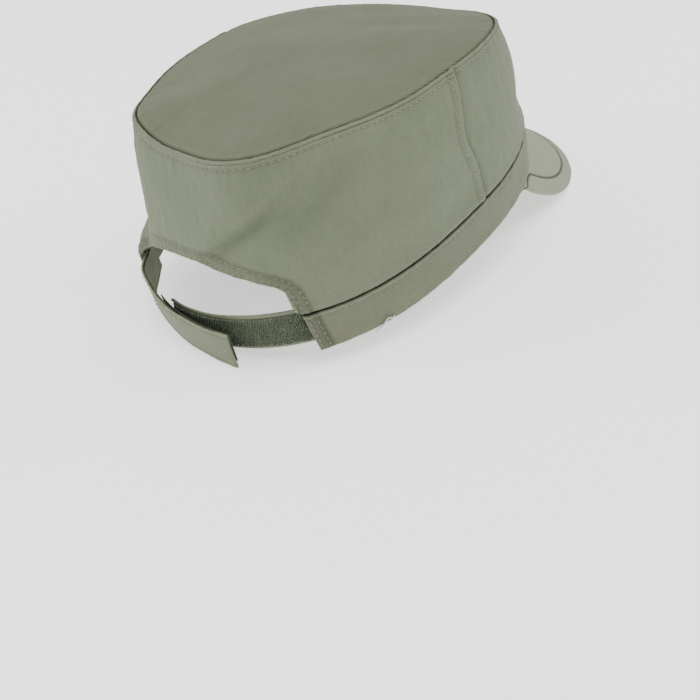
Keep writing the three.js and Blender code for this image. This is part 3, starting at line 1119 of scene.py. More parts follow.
@dataclass(frozen=True)
class TwillFinish:
    """Cotton twill.

    Attributes:
        name: Name of the material.
        light: Colour of the raised ribs.
        dark: Colour between the ribs and yarns.
        faded: Colour where edges are rubbed.
        ribs: Ribs for each metre.
        slant: How far a rib runs on for its climb.
        depth: Height of the weave in metres.
        painted_shade: Colour of the painted shade deep in the seams, stitch rows and folds.
    """

    name: str
    light: Triple
    dark: Triple
    faded: Triple
    ribs: float = 1080.0
    slant: float = 0.62
    depth: float = 0.00022
    painted_shade: Triple = (0.022, 0.025, 0.014)

    def build(self) -> bpy.types.Material:
        """Makes the material.

        Returns:
            The material.
        """
        material, board, shader = start_material(self.name, {
            "Specular IOR Level": 0.25, "Sheen Weight": 0.1, "Sheen Roughness": 0.4,
            "Sheen Tint": (0.9, 0.93, 0.85, 1.0)})
        cloth_map = board.add("UVMap", {}, uv_map="cloth").outputs[0]
        wear_and_shade = board.add("Attribute", {}, attribute_name="wear_and_shade").outputs["Fac"]
        weave = board.add("Group", {
            "Ribs per metre": self.ribs, "Slant": self.slant, "Vector": cloth_map},
            node_tree=TWILL).outputs
        fade = board.add("Group", {"Vector": cloth_map, "Wear": wear_and_shade}, node_tree=FADE).outputs
        share = board.math(
            "ADD", weave["Tone"], board.math("MULTIPLY_ADD", fade["Cloud"], 0.6, -0.3))
        cloth = board.mix(board.math("MINIMUM", share, 1.0), self.dark, self.light)
        rubbed = board.mix(board.math("MINIMUM", fade["Rub"], 0.8), cloth, self.faded)
        # Below 0 the wear attribute is painted shade, mixed towards the shade colour in seams,
        # stitch rows and folds
        painted_shade = board.math("MAXIMUM", board.math("MULTIPLY", wear_and_shade, -1.0), 0.0)
        board.feed(shader.inputs["Base Color"], board.mix(painted_shade, rubbed, self.painted_shade))
        rough = board.math("MULTIPLY_ADD", weave["Height"], -0.1, 0.96)
        board.feed(shader.inputs["Roughness"], rough)
        board.bump(shader, weave["Height"], 0.55, self.depth)
        return material


@dataclass(frozen=True)
class ThreadFinish:
    """Sewing thread, or the yarn of a pile: twisted fibre with uneven colour."""

    name: str
    light: Triple
    dark: Triple
    sheen: float = 0.3
    roughness: float = 0.8

    def build(self) -> bpy.types.Material:
        """Makes the material.

        Returns:
            The material.
        """
        material, board, shader = start_material(self.name, {
            "Roughness": self.roughness, "Sheen Weight": self.sheen, "Sheen Roughness": 0.4})
        place = board.add("TexCoord", {}).outputs["Object"]
        broad = board.math("MULTIPLY", board.noise(place, 260.0, 2.0), 0.8)
        twist = board.add("TexWave", {"Scale": 1500.0, "Distortion": 2.0, "Vector": place},
                          bands_direction="DIAGONAL").outputs["Fac"]
        share = board.math("MULTIPLY_ADD", twist, 0.35, broad)
        board.feed(shader.inputs["Base Color"], board.mix(share, self.dark, self.light))
        board.bump(shader, twist, 0.5, 0.00008)
        return material


# Pieces


def finished_mesh(name: str, bm: bmesh.types.BMesh) -> bpy.types.Mesh:
    """Turns a bmesh into a mesh and frees it.

    Args:
        name: Name of the mesh.
        bm: The bmesh.

    Returns:
        The mesh.
    """
    mesh = bpy.data.meshes.new(name)
    bm.to_mesh(mesh)
    bm.free()
    return mesh


def scene_object(name: str, data: bpy.types.ID) -> bpy.types.Object:
    """Puts a mesh, a light or a camera into the scene.

    Args:
        name: Name of the object.
        data: Its mesh, light or camera.

    Returns:
        The object.
    """
    holder = bpy.data.objects.new(name, data)
    bpy.context.scene.collection.objects.link(holder)
    return holder


def new_object(name: str, bm: bmesh.types.BMesh, material: bpy.types.Material,
               slot: Slot) -> bpy.types.Object:
    """Makes a piece of a finished bmesh and rides it on the cap.

    Args:
        name: Name of the piece.
        bm: Its finished bmesh.
        material: Its material.
        slot: Not used.

    Returns:
        The piece.
    """
    mesh = finished_mesh(name, bm)
    mesh.materials.append(material)
    mesh.polygons.foreach_set("use_smooth", np.ones(len(mesh.polygons), bool))
    piece = scene_object(name, mesh)
    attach(piece, "root")
    LOG.info("%s: %d faces", name, len(mesh.polygons))
    return piece


@dataclass
class ClothPiece:
    """A cut of cloth, laid as a grid and then shaped.

    Attributes:
        name: Name of the piece.
        columns: Places along it.
        rows: Places up it.
        place: Gives the points at pairs of places.
        lay: Gives the cloth's own two lengths in millimetres at pairs of places.
        wear_and_shade: Gives how rubbed (1) the cloth is, and how dark its painted shade is (-1),
            at pairs of places.
        inside: A point on the cloth's inner side.
        thickness: Thickness in millimetres, laid inward, or 0 where the shape is closed.
    """

    name: str
    columns: Points
    rows: Points
    place: Placing
    lay: Placing
    wear_and_shade: Placing
    inside: Triple = CROWN_HEART
    thickness: float = 1.6

    def build(self, material: bpy.types.Material, slot: Slot) -> bpy.types.Object:
        """Shapes the grid and makes the piece.

        Args:
            material: The cloth's material.
            slot: The record's slot for it.

        Returns:
            The piece.
        """
        across, up = len(self.columns) - 1, len(self.rows) - 1
        bm = bmesh.new()
        bmesh.ops.create_grid(bm, x_segments=across, y_segments=up, size=0.5)
        flat = np.array([vertex.co[:2] for vertex in bm.verts])
        column = self.columns[np.rint((flat[:, 0] + 0.5) * across).astype(int)]
        row = self.rows[np.rint((flat[:, 1] + 0.5) * up).astype(int)]
        points = REST.place(self.place(column, row))
        laid = self.lay(column, row) * MM
        worn_and_shaded = np.clip(self.wear_and_shade(column, row), -1, 1)
        uv = bm.loops.layers.uv.new("cloth")
        # The wear attribute holds rubbed wear above 0 and painted shade below 0
        wear_and_shade = bm.verts.layers.float.new("wear_and_shade")
        bm.verts.ensure_lookup_table()
        for vertex, point, value in zip(bm.verts, points, worn_and_shaded):
            vertex.co = point
            vertex[wear_and_shade] = value
        for face in bm.faces:
            for loop in face.loops:
                loop[uv].uv = laid[loop.vert.index]
        bm.normal_update()
        heart = Vector(REST.place(np.array([self.inside]))[0])
        facing = sum(
            face.normal.dot(face.calc_center_median() - heart) * face.calc_area()
            for face in bm.faces)
        if facing < 0:
            bmesh.ops.reverse_faces(bm, faces=bm.faces[:])
        bmesh.ops.remove_doubles(bm, verts=bm.verts[:], dist=1e-6)
        piece = new_object(self.name, bm, material, slot)
        if self.thickness:
            solid = piece.modifiers.new("thickness", "SOLIDIFY")
            solid.thickness = self.thickness * MM
            solid.offset = -1.0
            solid.use_even_offset = False
        return piece


@dataclass
class StitchRow:
    """A row of sewn stitches that follows a line on the cloth.

    Attributes:
        line: Points along the row.
        inside: A point on the cloth's inner side.
        length: Length of a stitch in millimetres.
        gap: Cloth between two stitches.
        width: Width of the thread.
    """

    line: Points
    inside: Triple = CROWN_HEART
    length: float = 2.3
    gap: float = 0.75
    width: float = 0.42

    def sew(self, bm: bmesh.types.BMesh, bead: bpy.types.Mesh,
            source: np.random.Generator) -> None:
        """Adds the row's stitches to a mesh.

        Args:
            bm: The mesh of all the stitches.
            bead: The round shape that each stitch is drawn out of.
            source: Source of their small differences.
        """
        points = REST.place(self.line) / MM
        heart = REST.place(np.array([self.inside]))[0] / MM
        steps = np.linalg.norm(np.diff(points, axis=0), axis=1)
        run = np.concatenate([[0.0], np.cumsum(steps)])
        place = self.gap
        while place < run[-1] - self.length:
            end = place + self.length * source.uniform(0.85, 1.08)
            first, last = (
                Vector([np.interp(where, run, points[:, i]) for i in range(3)])
                for where in (place, end))
            middle = (first + last) / 2
            along = (last - first).normalized()
            side = along.cross(middle - Vector(heart)).normalized()
            up = side.cross(along)
            turn = Matrix((along, side, up)).transposed().to_4x4()
            half = Matrix.Diagonal((
                (last - first).length / 2 * MM, self.width / 2 * MM, self.width * 0.45 * MM, 1.0))
            spot = Matrix.Translation((middle + up * 0.05) * MM)
            lean = Matrix.Rotation(source.normal(0, 0.06), 4, "Z")
            add_copy(bm, bead, spot @ turn @ lean @ half)
            place = end + self.gap


def round_bead(sides: int, rings: int) -> bpy.types.Mesh:
    """Makes a small round shape that stitches and loops are drawn out of.

    Args:
        sides: Faces round it.
        rings: Faces from pole to pole.

    Returns:
        Its mesh.
    """
    bm = bmesh.new()
    bmesh.ops.create_uvsphere(bm, u_segments=sides, v_segments=rings, radius=1.0)
    return finished_mesh("bead", bm)


def add_copy(bm: bmesh.types.BMesh, shape: bpy.types.Mesh, place: Matrix) -> None:
    """Adds a moved copy of a small shape to a mesh.

    Args:
        bm: The mesh that is added to.
        shape: The small shape.
        place: Where the copy goes.
    """
    copy = shape.copy()
    copy.transform(place)
    bm.from_mesh(copy)
    bpy.data.meshes.remove(copy)


def sew_rows(name: str, rows: Sequence[StitchRow], material: bpy.types.Material, slot: Slot,
             seed: int) -> bpy.types.Object:
    """Makes one piece of several rows of stitches.

    Args:
        name: Name of the piece.
        rows: The rows.
        material: The thread's material.
        slot: The record's slot for it.
        seed: Seed of the stitches' small differences.

    Returns:
        The piece.
    """
    bm = bmesh.new()
    bead = round_bead(6, 5)
    source = np.random.default_rng(seed)
    for row in rows:
        row.sew(bm, bead, source)
    bpy.data.meshes.remove(bead)
    return new_object(name, bm, material, slot)


def graded(start: float, end: float, count: int, fine: float) -> Points:
    """Places from start to end that lie closer together near the ends.

    Args:
        start: First place.
        end: Last place.
        count: Number of places.
        fine: 0 for even places, 1 for the closest ends.

    Returns:
        The places.
    """
    share = np.linspace(0, 1, count)
    return start + (end - start) * (share - fine * np.sin(2 * math.pi * share) / (2 * math.pi))


@dataclass
class Finishes:
    """Every material of the cap."""

    side: bpy.types.Material
    top: bpy.types.Material
    band: bpy.types.Material
    peak: bpy.types.Material
    strap: bpy.types.Material
    thread: bpy.types.Material
    loose: bpy.types.Material
    loops: bpy.types.Material
    hooks: bpy.types.Material

    @classmethod
    def make(cls) -> "Finishes":
        """Makes the materials.

        Returns:
            The finishes.
        """
        light, dark = linear(121, 129, 105), linear(80, 87, 66)
        faded = linear(150, 154, 130)
        return cls(
            side=TwillFinish("crown_side_twill", light, dark, faded).build(),
            top=TwillFinish("crown_top_twill", linear(114, 120, 97), linear(78, 84, 63), faded,
                            slant=-0.3).build(),
            band=TwillFinish("band_twill", linear(119, 123, 101), linear(80, 84, 64), faded,
                             slant=0.9).build(),
            peak=TwillFinish("peak_twill", linear(138, 142, 120), linear(130, 134, 113), faded,
                             slant=0.2, ribs=1700.0, depth=0.00002).build(),
            strap=TwillFinish("strap_twill", linear(124, 130, 105), linear(84, 91, 68), faded,
                              slant=0.5).build(),
            thread=ThreadFinish("sewing_thread", linear(150, 152, 128),
                                linear(92, 94, 74)).build(),
            loose=ThreadFinish("loose_thread", linear(226, 228, 214),
                               linear(168, 170, 152)).build(),
            loops=ThreadFinish("loop_yarn", linear(104, 116, 88), linear(46, 56, 38),
                               sheen=0.4, roughness=0.7).build(),
            hooks=ThreadFinish("hook_yarn", linear(74, 85, 66), linear(38, 47, 34),
                               sheen=0.1, roughness=0.45).build(),
        )


@dataclass
class Crown:
    """The crown: its round top, its front and back panels, and their stitching."""

    finishes: Finishes
    wall: Wall
    top: Top
    cloth: float = 1.6
    back_reach: float = 95.0
    seam_overlap: float = 1.2
    top_radius: float = 82.0
    lip_rows: tuple[float, ...] = (
        0.946, 0.957, 0.966, 0.973, 0.979, 0.984, 0.988, 0.9915, 0.9945, 0.997, 0.999, 1.0,
        1.003, 1.008, 1.014)

    def panel(self, name: str, columns: Points, rows: Points, spot: Spotting,
              back: bool) -> bpy.types.Object:
        """Makes one panel of the wall.

        Args:
            name: Name of the piece.
            columns: Places along it.
            rows: Places up it.
            spot: Gives the angle and the level at pairs of places.
            back: Whether it is the back panel.

        Returns:
            The piece.
        """
        def place(column: Points, row: Points) -> Points:
            """Points of the panel."""
            return self.wall.point(*spot(column, row), back)

        def lay(column: Points, row: Points) -> Points:
            """Lengths on the panel's cloth."""
            angle, level = spot(column, row)
            return np.column_stack([OVAL.run_at(angle), level * self.wall.span(angle)])

        def wear_and_shade(column: Points, row: Points) -> Points:
            """Rubbed places of the panel, and painted shade in its seams, stitch rows and folds."""
            return self.wall.tone(*spot(column, row), back)

        piece = ClothPiece(name, columns, rows, place, lay, wear_and_shade, thickness=self.cloth)
        return piece.build(self.finishes.side, Slot.SIDE)

    def build_front(self) -> bpy.types.Object:
        """Builds the front panel, from side seam to side seam round the front.

        Returns:
            The piece.
        """
        columns = np.concatenate([
            [0.0, 0.0012, 0.003, 0.0055], np.linspace(0.009, 0.991, 225),
            [0.9945, 0.997, 0.9988, 1.0]])
        rows = np.concatenate([
            [-0.045, -0.02, -0.008, 0.0, 0.006, 0.013, 0.022, 0.034, 0.048],
            np.linspace(0.064, 0.934, 44), self.lip_rows])

        def spot(column: Points, level: Points) -> tuple[Points, Points]:
            """Angle and level of a place, in columns that lean with the side seams."""
            girth = 2 * OVAL.run_at(180.0)
            first = OVAL.run_at(self.wall.side_seam(level, 1.0)) - self.seam_overlap
            return OVAL.angle_at(first + column * (girth - 2 * first)), level

        piece = self.panel("crown_front_cloth", columns, rows, spot, False)
        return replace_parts(piece, "crown_front_panel")

    def build_back(self) -> bpy.types.Object:
        """Builds the back panel over the window, from side seam to side seam.

        Returns:
            The piece.
        """
        reach = OVAL.run_at(self.back_reach)
        edge = OVAL.run_at(self.wall.window_side) / reach
        half = np.concatenate([
            np.linspace(0, 0.79 * edge, 46), np.linspace(0.80 * edge, edge, 34),
            graded(edge * 1.008, 1.0, 92, 0.75)])
        columns = np.concatenate([-half[:0:-1], half])
        rows = np.concatenate([
            [0.0, 0.004, 0.009, 0.015, 0.023, 0.032, 0.043, 0.056, 0.07],
            np.linspace(0.086, 0.934, 46), self.lip_rows])

        def spot(column: Points, row: Points) -> tuple[Points, Points]:
            """Angle and level of a place, in rows that start at the window's edge.

            Args:
                column: Places along the panel.
                row: Places up the panel.

            Returns:
                The angles and the levels.
            """
            angle = OVAL.angle_at(column * reach)
            foot = (self.wall.window_edge(angle) - self.wall.floor) / self.wall.span(angle)
            foot = np.where(np.abs(angle) >= self.wall.window_side, -0.03, foot)
            level = np.where(row > 1, row, foot + (1 - foot) * row)
            share = smooth_step(np.abs(column), edge, 1.0)
            seam = OVAL.run_at(self.wall.side_seam(level, 1.0))
            shift = (seam - reach) * share * np.sign(column)
            return OVAL.angle_at(column * reach + shift), level

        piece = self.panel("crown_back_cloth", columns, rows, spot, True)
        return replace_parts(piece, "crown_back_panel")

    def build_top(self) -> bpy.types.Object:
        """Builds the round top.

        Returns:
            The piece.
        """
        columns = OVAL.even_angles(0.0, 360.0, 401)
        rows = np.concatenate([
            np.linspace(0, 0.955, 58),
            [0.963, 0.97, 0.976, 0.981, 0.985, 0.9885, 0.9915, 0.994, 0.9965, 0.9985, 1.0,
             1.006, 1.014]])

        def lay(angle: Points, share: Points) -> Points:
            """Lengths on the top's cloth."""
            return self.top.point(angle, np.minimum(share, 1.0))[:, :2]

        def wear_and_shade(angle: Points, share: Points) -> Points:
            """Rubbed places of the top beside its seam, and painted shade in the seam itself."""
            away = np.maximum(1 - share, 0) * self.top_radius
            # Painted shade darkens the cloth right at the seam
            return 0.15 * bump(away, 1.9, 0.9) - np.exp(-away / 0.75)

        piece = ClothPiece("crown_top_twill", columns, rows, self.top.point, lay, wear_and_shade,
                           thickness=self.cloth).build(self.finishes.top, Slot.TOP)
        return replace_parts(piece, "crown_top")

    def build_stitching(self) -> bpy.types.Object:
        """Sews the rows below the top seam, beside the side seams and round the window.

        Returns:
            The piece.
        """
        wall = self.wall
        rows = []
        for start, end, back in ((-94.0, 94.0, True), (96.5, 263.5, False)):
            angles = OVAL.even_angles(start, end, 600)
            levels = 1 - wall.row_from_top / wall.span(angles)
            rows.append(StitchRow(wall.point(angles, levels, back)))
        levels = np.linspace(0.01, 0.965, 120)
        for side in (1.0, -1.0):
            run = OVAL.run_at(wall.side_seam(levels, 1.0)) - wall.stitch_from_seam
            rows.append(StitchRow(wall.point(side * OVAL.angle_at(run), levels, True)))
        for inset in (wall.hem_edge_row, wall.hem_inner_row):
            rows.append(StitchRow(self.hem_line(inset)))
        return sew_rows("crown_stitching", rows, self.finishes.thread, Slot.SIDE, 61)

    def hem_line(self, inset: float) -> Points:
        """A line at a distance inside the window's edge, from band to band.

        Args:
            inset: Distance from the edge.

        Returns:
            Rows of x, y, z in millimetres.
        """
        wall = self.wall
        angles = OVAL.even_angles(-wall.window_side, wall.window_side, 500)
        run, height = OVAL.run_at(angles), wall.window_edge(angles)
        slope_run, slope_height = np.gradient(run), np.gradient(height)
        size = np.hypot(slope_run, slope_height)
        run = run - inset * slope_height / size
        height = height + inset * slope_run / size
        keep = height > wall.floor
        run, height = run[keep], height[keep]
        for _ in range(12):
            run[1:-1] = (run[:-2] + 2 * run[1:-1] + run[2:]) / 4
            height[1:-1] = (height[:-2] + 2 * height[1:-1] + height[2:]) / 4
        angle = OVAL.angle_at(run)
        return wall.point(angle, (height - wall.floor) / wall.span(angle), True)


@dataclass
class RimBand:
    """The band with its stitching and the loose end of thread on its lower edge."""

    finishes: Finishes
    band: Band
    lay_run: float = 205.0

    def build(self) -> bpy.types.Object:
        """Builds the doubled band.

        Returns:
            The piece.
        """
        columns = np.concatenate([
            [-1.0, -0.9992, -0.998, -0.9965], np.linspace(-0.995, 0.995, 421),
            [0.9965, 0.998, 0.9992, 1.0]])
        rows = graded(0, 1, 30, 0.82)
        band = self.band

        def lay(share: Points, level: Points) -> Points:
            """Lengths on the band's cloth."""
            return np.column_stack([share * self.lay_run, level * band.height])

        def wear_and_shade(share: Points, level: Points) -> Points:
            """Rubbed places of the band at its upper and lower folds and its ends, and painted
            shade at its upper edge, stitch rows and hems.

            Args:
                share: Shares along the band.
                level: Levels up the band.

            Returns:
                Values from about -1 to 1.
            """
            up, away = level * band.height, (1 - np.abs(share)) * band.half_run
            down = band.height - up
            # Rubbed just below the upper fold, and painted shade in the gap right at the upper edge
            worn_and_shaded = 0.45 * bump(down, 1.0, 0.55) - 0.6 * np.exp(-down / 0.25)
            worn_and_shaded += 0.25 * np.exp(-up / 0.9) + 0.3 * np.exp(-away / 0.7)
            worn_and_shaded -= 0.2 * bump(down, band.upper_row, 0.4) + 0.3 * (away < band.hem_width)
            worn_and_shaded -= 0.3 * bump(away, band.hem_rows[0], 0.4)
            worn_and_shaded -= 0.4 * bump(away, band.hem_rows[1], 0.5)
            return worn_and_shaded - 0.4 * bump(away, band.hem_width + 0.4, 0.5)

        piece = ClothPiece("band_twill_cloth", columns, rows, band.point, lay, wear_and_shade,
                           inside=BAND_HEART, thickness=band.thickness)
        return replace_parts(piece.build(self.finishes.band, Slot.BAND), "band")

    def build_stitching(self) -> bpy.types.Object:
        """Sews the row below the band's upper edge and the rows across its ends.

        Returns:
            The piece.
        """
        band = self.band
        shares = np.linspace(-0.997, 0.997, 1500)
        upper = band.point(shares, np.full(1500, 1 - band.upper_row / band.height))
        rows = [StitchRow(upper, inside=BAND_HEART, width=0.36)]
        levels = np.linspace(0.06, 0.93, 60)
        for side in (-1.0, 1.0):
            for inset in band.hem_rows:
                share = np.full(60, side * (1 - inset / band.half_run))
                rows.append(StitchRow(band.point(share, levels), inside=BAND_HEART))
        return sew_rows("band_stitching", rows, self.finishes.thread, Slot.BAND, 62)

    def build_loose_thread(self) -> bpy.types.Object:
        """Hangs the loose end of thread on the band's lower edge.

        Returns:
            The piece.
        """
        bends = np.array([
            (58.0, 0.9, -1.2), (59.4, 0.6, -0.4), (60.8, 1.0, 0.9), (62.0, 1.0, 2.6),
            (62.7, 1.2, 3.0), (63.3, 1.3, 2.2), (64.0, 1.0, 1.5), (64.6, 0.6, 2.2)])
        share = np.linspace(0, 1, 60)
        angle, outward, height = (
            np.interp(share, np.linspace(0, 1, len(bends)), column) for column in bends.T)
        row = StitchRow(OVAL.point(angle, outward, height), inside=BAND_HEART, length=0.6,
                        gap=-0.3, width=0.75)
        return sew_rows("band_loose_thread", [row], self.finishes.loose, Slot.BAND, 64)


@dataclass
class CapPeak:
    """The peak with its edge border."""

    finishes: Finishes
    peak: Peak

    def build(self) -> bpy.types.Object:
        """Builds the peak as one closed skin, upper side and under side.

        Returns:
            The piece.
        """
        peak = self.peak
        columns = np.concatenate([
            np.linspace(-peak.end_turn, -70, 44), np.linspace(-69.5, 69.5, 190),
            np.linspace(70, peak.end_turn, 44)])
        half = np.concatenate([np.linspace(0, 0.92, 64), 1 - 0.078 * np.cos(
            np.linspace(0.1, math.pi / 2, 14)) ** 2])
        rows = np.concatenate([half, 2 - half[-2::-1]])

        def spot(row: Points) -> tuple[Points, Points]:
            """Share of the way to the edge, and whether a place is on the under side."""
            return np.where(row > 1, 2 - row, row), row > 1

        def place(turn: Points, row: Points) -> Points:
            """Points of the skin."""
            share, under = spot(row)
            return peak.point(turn, share, under)

        def lay(turn: Points, row: Points) -> Points:
            """Lengths on the peak's cloth."""
            share, _ = spot(row)
            plain = peak.surface(turn, share)
            return np.column_stack([plain[:, 0], plain[:, 1] * 1.25])

        def wear_and_shade(turn: Points, row: Points) -> Points:
            """Rubbed free edge of the peak, a lighter line outside its border's groove, and painted
            shade in the groove.
            """
            share, _ = spot(row)
            edge = peak.edge_distance(peak.surface(turn, share))
            worn_and_shaded = 0.6 * np.exp(-edge / 1.1) + 0.3 * bump(edge, peak.border - 1.6, 0.8)
            # Painted shade in the border's groove
            return worn_and_shaded - 0.95 * bump(edge, peak.border, 0.6)

        piece = ClothPiece("peak_twill_cloth", columns, rows, place, lay, wear_and_shade,
                           inside=PEAK_HEART, thickness=0.0)
        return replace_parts(piece.build(self.finishes.peak, Slot.PEAK), "peak")


@dataclass
class BackStrap:
    """The strap with its loop pile, and the tab with its hook tape."""

    finishes: Finishes
    strap: Strap
    strap_thickness: float = 1.3
    tab_side_row: float = 1.7
    tab_end_row: float = 3.4

    def flat_piece(self, name: str, angles: Points, levels: Points,
                   place: Placing, thickness: float,
                   edge: float) -> ClothPiece:
        """A strip of cloth whose lengths follow the oval and whose edges are rubbed.

        Args:
            name: Name of the piece.
            angles: Angles along it.
            levels: Levels up it.
            place: Gives the points at pairs of angles and levels.
            thickness: Its thickness in millimetres.
            edge: How rubbed its long edges are, and how dark the painted shade along their stitch
                rows.

        Returns:
            The strip, ready to build.
        """
        def lay(angle: Points, level: Points) -> Points:
            """Lengths on the strip's cloth."""
            return np.column_stack([OVAL.run_at(angle), level * self.strap.tab_width])

        def wear_and_shade(angle: Points, level: Points) -> Points:
            """Rubbed places of the strip along its two long edges, and painted shade along the
            stitch rows inside them.
            """
            side = np.minimum(level, 1 - level) * self.strap.tab_width
            return edge * (np.exp(-side / 0.7) - 0.35 * bump(side, 1.7, 0.4))

        return ClothPiece(name, angles, levels, place, lay, wear_and_shade, inside=STRAP_HEART,
                          thickness=thickness)

    def build_strap(self) -> bpy.types.Object:
        """Builds the strap behind its loop pile, with ribbon edges that stand proud.

        Returns:
            The piece.
        """
        strap = self.strap
        base = strap.tape_out - strap.tape_thickness - 0.3

        def place(angle: Points, level: Points) -> Points:
            """Points of the strap's outer face."""
            up = level * strap.strap_width
            down = strap.strap_width - up
            ribbon = 0.9 * (1 - smooth_step(down, 1.9, 2.5)) + 0.8 * (1 - smooth_step(up, 1.1, 1.7))
            ribbon -= edge_roll(np.minimum(up, down), 0.6)
            return strap.strap_point(angle, level, base + ribbon)

        piece = self.flat_piece("strap_cloth", OVAL.even_angles(*strap.strap_ends, 150),
                                graded(0, 1, 28, 0.8), place, self.strap_thickness, 0.5)
        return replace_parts(piece.build(self.finishes.strap, Slot.STRAP), "adjuster_strap")

    def build_tab(self) -> bpy.types.Object:
        """Builds the tab, with its rolled long edges and turned end.

        Returns:
            The piece.
        """
        strap = self.strap
        first, last = OVAL.run_at(np.array(strap.tab_ends))

        def place(angle: Points, level: Points) -> Points:
            """Points of the tab's outer face.

            Args:
                angle: Angles in degrees.
                level: Levels up the tab.

            Returns:
                Rows of x, y, z in millimetres.
            """
            run = OVAL.run_at(angle)
            up, away = level * strap.tab_width, last - run
            side = np.minimum(up, strap.tab_width - up)
            inward = edge_roll(np.minimum(side, away), 0.75)
            inward -= 0.3 * (1 - smooth_step(away, 3.6, 4.4))
            inward += 0.22 * bump(away, self.tab_end_row, 0.5)
            inward += 0.2 * bump(side, self.tab_side_row, 0.45)
            inward -= 0.1 * TAB_WAVES.at(run, up)
            return strap.tab_point(angle, level, inward)

        angles = OVAL.angle_at(graded(first, last, 170, 0.5))
        piece = self.flat_piece("tab_cloth", angles, graded(0, 1, 34, 0.8), place,
                                strap.tab_thickness, 0.8)
        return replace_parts(piece.build(self.finishes.strap, Slot.STRAP), "fastening_tab")

    def build_loops(self) -> bpy.types.Object:
        """Builds the loop tape's ground cloth and its pile of small loops.

        Returns:
            The pile.
        """
        strap = self.strap
        bm = bmesh.new()
        source = np.random.default_rng(81)
        first, last = OVAL.run_at(np.array(strap.tape_ends))
        ups = np.arange(1.9, 15.0, 0.86)
        starts = np.arange(first - 4, last + 4, 1.32)
        runs, heights = (grid.ravel() for grid in np.meshgrid(starts, ups, indexing="ij"))
        runs = runs + (heights - 8) * 0.42 + source.normal(0, 0.13, runs.shape)
        heights = heights + source.normal(0, 0.1, heights.shape)
        keep = (runs > first) & (runs < last)
        angles, levels = OVAL.angle_at(runs[keep]), heights[keep] / strap.strap_width
        feet = REST.place(strap.strap_point(angles, levels, strap.tape_out - 0.8))
        tips = REST.place(strap.strap_point(angles, levels, strap.tape_out + 0.35))
        bead = round_bead(6, 4)
        for foot, tip in zip(feet, tips):
            self.add_loop(bm, bead, Vector(foot), Vector(tip), source)
        bpy.data.meshes.remove(bead)
        piece = new_object("loop_pile_yarns", bm, self.finishes.loops, Slot.LOOPS)

        def place(angle: Points, level: Points) -> Points:
            """Points of the ground cloth's outer face."""
            return strap.strap_point(angle, level, strap.tape_out - 0.6)

        ground = self.flat_piece("loop_tape_ground", OVAL.even_angles(*strap.tape_ends, 90),
                                 np.linspace(0.075, 0.885, 12), place, 0.5, 0.0)
        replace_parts(ground.build(self.finishes.loops, Slot.LOOPS), "loop_tape")
        return piece

    def add_loop(self, bm: bmesh.types.BMesh, bead: bpy.types.Mesh, foot: Vector, tip: Vector,
                 source: np.random.Generator) -> None:
        """Adds one small bent loop of yarn to a mesh.

        Args:
            bm: The mesh of the pile.
            bead: The round shape that the loop is drawn out of.
            foot: Where the loop leaves the ground cloth.
            tip: How far out it reaches.
            source: Source of its lean and turn.
        """
        outward = (tip - foot).normalized()
        lean = Vector(source.normal(0, 0.3, 3))
        side = outward.cross(Vector((0, 0, 1)) + lean).normalized()
        up = side.cross(outward)
        turn = Matrix((side, up, outward)).transposed().to_4x4()
        reach = (tip - foot).length * source.uniform(0.45, 0.62)
        half = Matrix.Diagonal((0.5 * MM, 0.3 * MM, reach, 1.0))
        add_copy(bm, bead, Matrix.Translation((foot + tip) / 2) @ turn @ half)

    def build_hooks(self) -> bpy.types.Object:
        """Builds the hook tape inside the tab.

        Returns:
            The piece.
        """
        strap = self.strap

        def place(angle: Points, level: Points) -> Points:
            """Points of the hook tape's inner face."""
            run = OVAL.run_at(angle)
            rows = 0.2 * np.sin(2 * math.pi * run / 1.5) * np.sin(2 * math.pi * level * 9)
            rows *= smooth_step(np.minimum(level, 1 - level), 0, 0.06)
            rows *= smooth_step(OVAL.run_at(strap.hook_ends[1]) - run, 0, 1)
            return strap.tab_point(angle, 0.1 + 0.8 * level, strap.hook_inward + rows)

        piece = self.flat_piece("hook_tape_face", OVAL.even_angles(*strap.hook_ends, 130),
                                np.linspace(0, 1, 60), place, 0.5, 0.0)
        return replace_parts(piece.build(self.finishes.hooks, Slot.HOOKS), "hook_tape")

    def build_stitching(self) -> bpy.types.Object:
        """Sews the rows along the tab's edges and end, and along the loop tape.

        Returns:
            The piece.
        """
        strap = self.strap
        rows = []
        angles = OVAL.even_angles(-44, 12.2, 400)
        for up in (self.tab_side_row, strap.tab_width - self.tab_side_row):
            levels = np.full(400, up / strap.tab_width)
            rows.append(StitchRow(strap.tab_point(angles, levels, -0.05), inside=STRAP_HEART))
        end = OVAL.angle_at(np.full(60, OVAL.run_at(strap.tab_ends[1]) - self.tab_end_row))
        line = strap.tab_point(end, np.linspace(0.1, 0.9, 60), -0.15)
        rows.append(StitchRow(line, inside=STRAP_HEART))
        angles = OVAL.even_angles(*strap.tape_ends, 400)
        for up in (1.5, 14.7):
            levels = np.full(400, up / strap.strap_width)
            line = strap.strap_point(angles, levels, strap.tape_out - 0.3)
            rows.append(StitchRow(line, inside=STRAP_HEART, length=1.8, gap=0.6))
        return sew_rows("strap_stitching", rows, self.finishes.thread, Slot.STRAP, 63)


# Studio


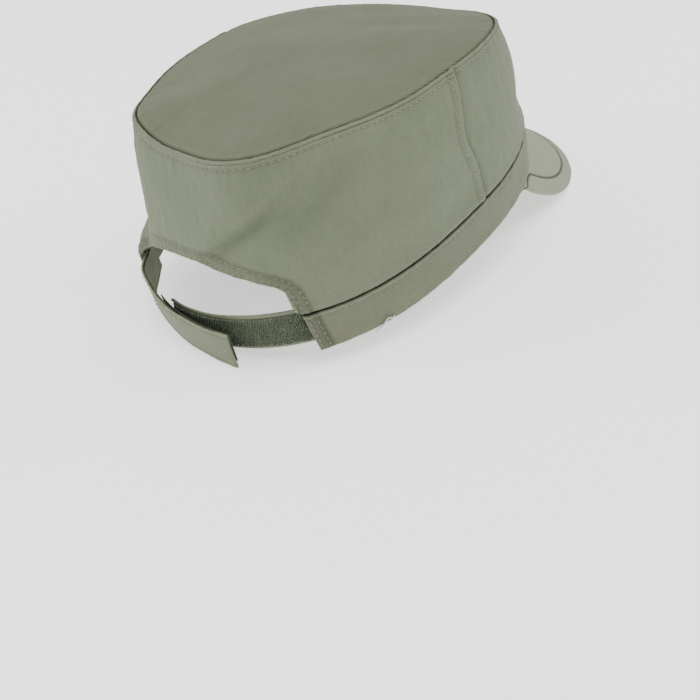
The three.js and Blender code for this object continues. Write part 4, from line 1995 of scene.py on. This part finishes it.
@dataclass(frozen=True)
class Studio:
    """A plain pale floor, soft light and the camera."""

    camera_place: Triple = (-309.56, 360.09, 262.19)
    camera_turn: tuple[Triple, ...] = (
        (-0.77053, 0.31266, -0.55546),
        (-0.63199, -0.48812, 0.60194),
        (-0.08293, 0.81485, 0.57371),
    )
    lens: float = 55.797
    floor_size: float = 6.0
    lit_middle: Triple = (0.0, 0.0, 0.06)

    def build(self) -> None:
        """Makes the floor, the lights and the camera."""
        self.build_floor()
        self.build_camera()
        self.build_light("front_light", (-0.9, -1.2, 1.1), 0.8, 9.0)
        self.build_light("back_light", (1.2, 1.0, 0.7), 0.8, 13.0)
        self.build_light("top_light", (-0.4, 0.2, 1.9), 1.2, 19.0)
        world = bpy.data.worlds.new("studio_world")
        world.use_nodes = True
        background = world.node_tree.nodes["Background"]
        background.inputs["Color"].default_value = (0.97, 0.98, 1.0, 1.0)
        background.inputs["Strength"].default_value = 0.85
        bpy.context.scene.world = world

    def build_floor(self) -> None:
        """Makes the floor."""
        bm = bmesh.new()
        bmesh.ops.create_grid(bm, x_segments=1, y_segments=1, size=self.floor_size / 2)
        mesh = finished_mesh("studio_floor", bm)
        material, _, _ = start_material("pale_floor", {
            "Base Color": (0.95, 0.95, 0.95, 1.0), "Roughness": 0.9,
            "Emission Color": (1.0, 1.0, 1.0, 1.0), "Emission Strength": 0.9})
        mesh.materials.append(material)
        floor = scene_object("studio_floor", mesh)

    def build_camera(self) -> None:
        """Makes the camera at the photographed angle."""
        camera = bpy.data.cameras.new("camera")
        camera.sensor_fit = "HORIZONTAL"
        camera.sensor_width = 36.0
        camera.lens = self.lens
        camera.clip_start = 0.01
        holder = scene_object("camera", camera)
        turn = Matrix(self.camera_turn).to_4x4()
        holder.matrix_world = Matrix.Translation(Vector(self.camera_place) * MM) @ turn
        bpy.context.scene.camera = holder

    def build_light(self, name: str, place: Triple, size: float, power: float) -> None:
        """Makes one soft light that faces the cap.

        Args:
            name: Name of the light.
            place: Where it hangs, in metres.
            size: Its side in metres.
            power: Its power in watts.
        """
        light = bpy.data.lights.new(name, "AREA")
        light.size = size
        light.energy = power
        holder = scene_object(name, light)
        holder.location = place
        aim = Vector(self.lit_middle) - Vector(place)
        holder.rotation_euler = aim.to_track_quat("-Z", "Y").to_euler()


def main() -> None:
    """Builds the studio and then the cap, piece by piece."""
    logging.basicConfig(level=logging.INFO, format="%(name)s: %(message)s")
    Studio().build()
    finishes = Finishes.make()
    crown = Crown(finishes, Wall(), Top())
    crown.build_top()
    crown.build_front()
    crown.build_back()
    crown.build_stitching()
    band = RimBand(finishes, Band())
    band.build()
    band.build_stitching()
    band.build_loose_thread()
    CapPeak(finishes, Peak()).build()
    straps = BackStrap(finishes, Strap())
    straps.build_strap()
    straps.build_loops()
    straps.build_tab()
    straps.build_hooks()
    straps.build_stitching()


if __name__ == "__main__":
    main()
